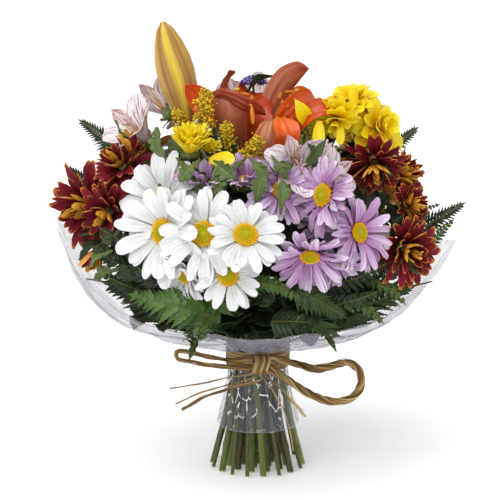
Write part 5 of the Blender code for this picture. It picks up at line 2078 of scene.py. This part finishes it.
def lay_floor(chose):
    """The floor, just under the cut ends."""
    bm = bmesh.new()
    low = Matrix.Translation((0, 0, FLOOR_HEIGHT))
    bmesh.ops.create_circle(bm, cap_ends=True, segments=96, radius=FLOOR_RADIUS, matrix=low)
    mesh = bpy.data.meshes.new("floor")
    bm.to_mesh(mesh)
    bm.free()
    # Matt board, very slightly uneven, and bright as a lit studio floor is
    material, add, shader = start_material("matt_white_board")
    grain = add("TexNoise", {"Vector": add("TexCoord").outputs["Object"], "Scale": 3.0})
    level = add("MapRange", {0: grain, 3: 0.96, 4: 1.0})
    fill(shader, {
        "Base Color": add("HueSaturation", {"Value": level, "Color": chose.floor}), "Roughness": 0.9,
        "Emission Color": WHITE, "Emission Strength": chose.floor_glow,
    })
    mesh.materials.append(material)
    add_object("floor", mesh)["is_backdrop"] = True


def hang_lights(chose):
    """The room's light, the soft light above and those round the bouquet."""
    world = bpy.data.worlds.new("soft_room")
    bpy.context.scene.world = world
    world.use_nodes = True
    fill(world.node_tree.nodes["Background"], {0: WHITE, 1: chose.room})
    sun = add_object("softbox_above", bpy.data.lights.new("softbox_above", "SUN"))
    sun.data.energy = chose.sun
    sun.data.angle = chose.sun_spread
    point_along(sun, -SUN_PLACE)
    for name, (place, size, power) in SOFT_LIGHTS.items():
        data = bpy.data.lights.new(name, "AREA")
        data.shape = "DISK"
        data.size = size
        data.energy = power
        light = add_object(name, data)
        light.location = place
        point_along(light, Vector((0, 0, 0.2)) - place)


class BOUQUET_OT_stage(Operator):
    """Adds the floor, the lights and the camera"""

    bl_idname = "bouquet.stage"
    bl_label = "Stage"

    def execute(self, context):
        chose = chosen().stage
        context.scene.view_settings.view_transform = "Standard"
        lay_floor(chose)
        hang_lights(chose)
        back = Vector((0, -cos(chose.elevation), sin(chose.elevation)))
        data = bpy.data.cameras.new("camera")
        data.lens = chose.lens
        camera = add_object("camera", data)
        camera.location = CAMERA_TARGET + back * chose.distance
        point_along(camera, -back)
        context.scene.camera = camera
        return {"FINISHED"}


OPERATORS = (
    BOUQUET_OT_stage, BOUQUET_OT_raffia, BOUQUET_OT_film, BOUQUET_OT_ferns, BOUQUET_OT_daisies,
    BOUQUET_OT_chrysanthemums, BOUQUET_OT_alstroemerias, BOUQUET_OT_lilies, BOUQUET_OT_fillers,
)


class BOUQUET_PT_panel(Panel):
    """Lists the bouquet's pieces and what can be changed about each"""

    bl_label = "Bouquet"
    bl_space_type = "VIEW_3D"
    bl_region_type = "UI"
    bl_category = "Bouquet"

    def draw(self, context):
        for operator in OPERATORS:
            self.layout.operator(operator.bl_idname)
        for group in BOUQUET_PG_settings.__annotations__:
            box = self.layout.box()
            box.label(text=group.capitalize())
            settings = getattr(context.scene.bouquet, group)
            for name in type(settings).__annotations__:
                box.prop(settings, name)


CLASSES = (
    BOUQUET_PG_daisies, BOUQUET_PG_chrysanthemums, BOUQUET_PG_alstroemerias, BOUQUET_PG_lilies,
    BOUQUET_PG_fillers, BOUQUET_PG_foliage, BOUQUET_PG_film, BOUQUET_PG_raffia, BOUQUET_PG_stage,
    BOUQUET_PG_settings, *OPERATORS, BOUQUET_PT_panel,
)


def register():
    for item in CLASSES:
        bpy.utils.register_class(item)
    bpy.types.Scene.bouquet = bpy.props.PointerProperty(
        name="Bouquet", description="The bouquet's sizes and colours", type=BOUQUET_PG_settings
    )


def unregister():
    del bpy.types.Scene.bouquet
    for item in reversed(CLASSES):
        bpy.utils.unregister_class(item)


def main():
    register()
    for operator in OPERATORS:
        group, name = operator.bl_idname.split(".")
        getattr(getattr(bpy.ops, group), name)()
    boxes = [[list(corner) for corner in box] for box in (CAD_BOUNDS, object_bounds())]


if __name__ == "__main__":
    main()
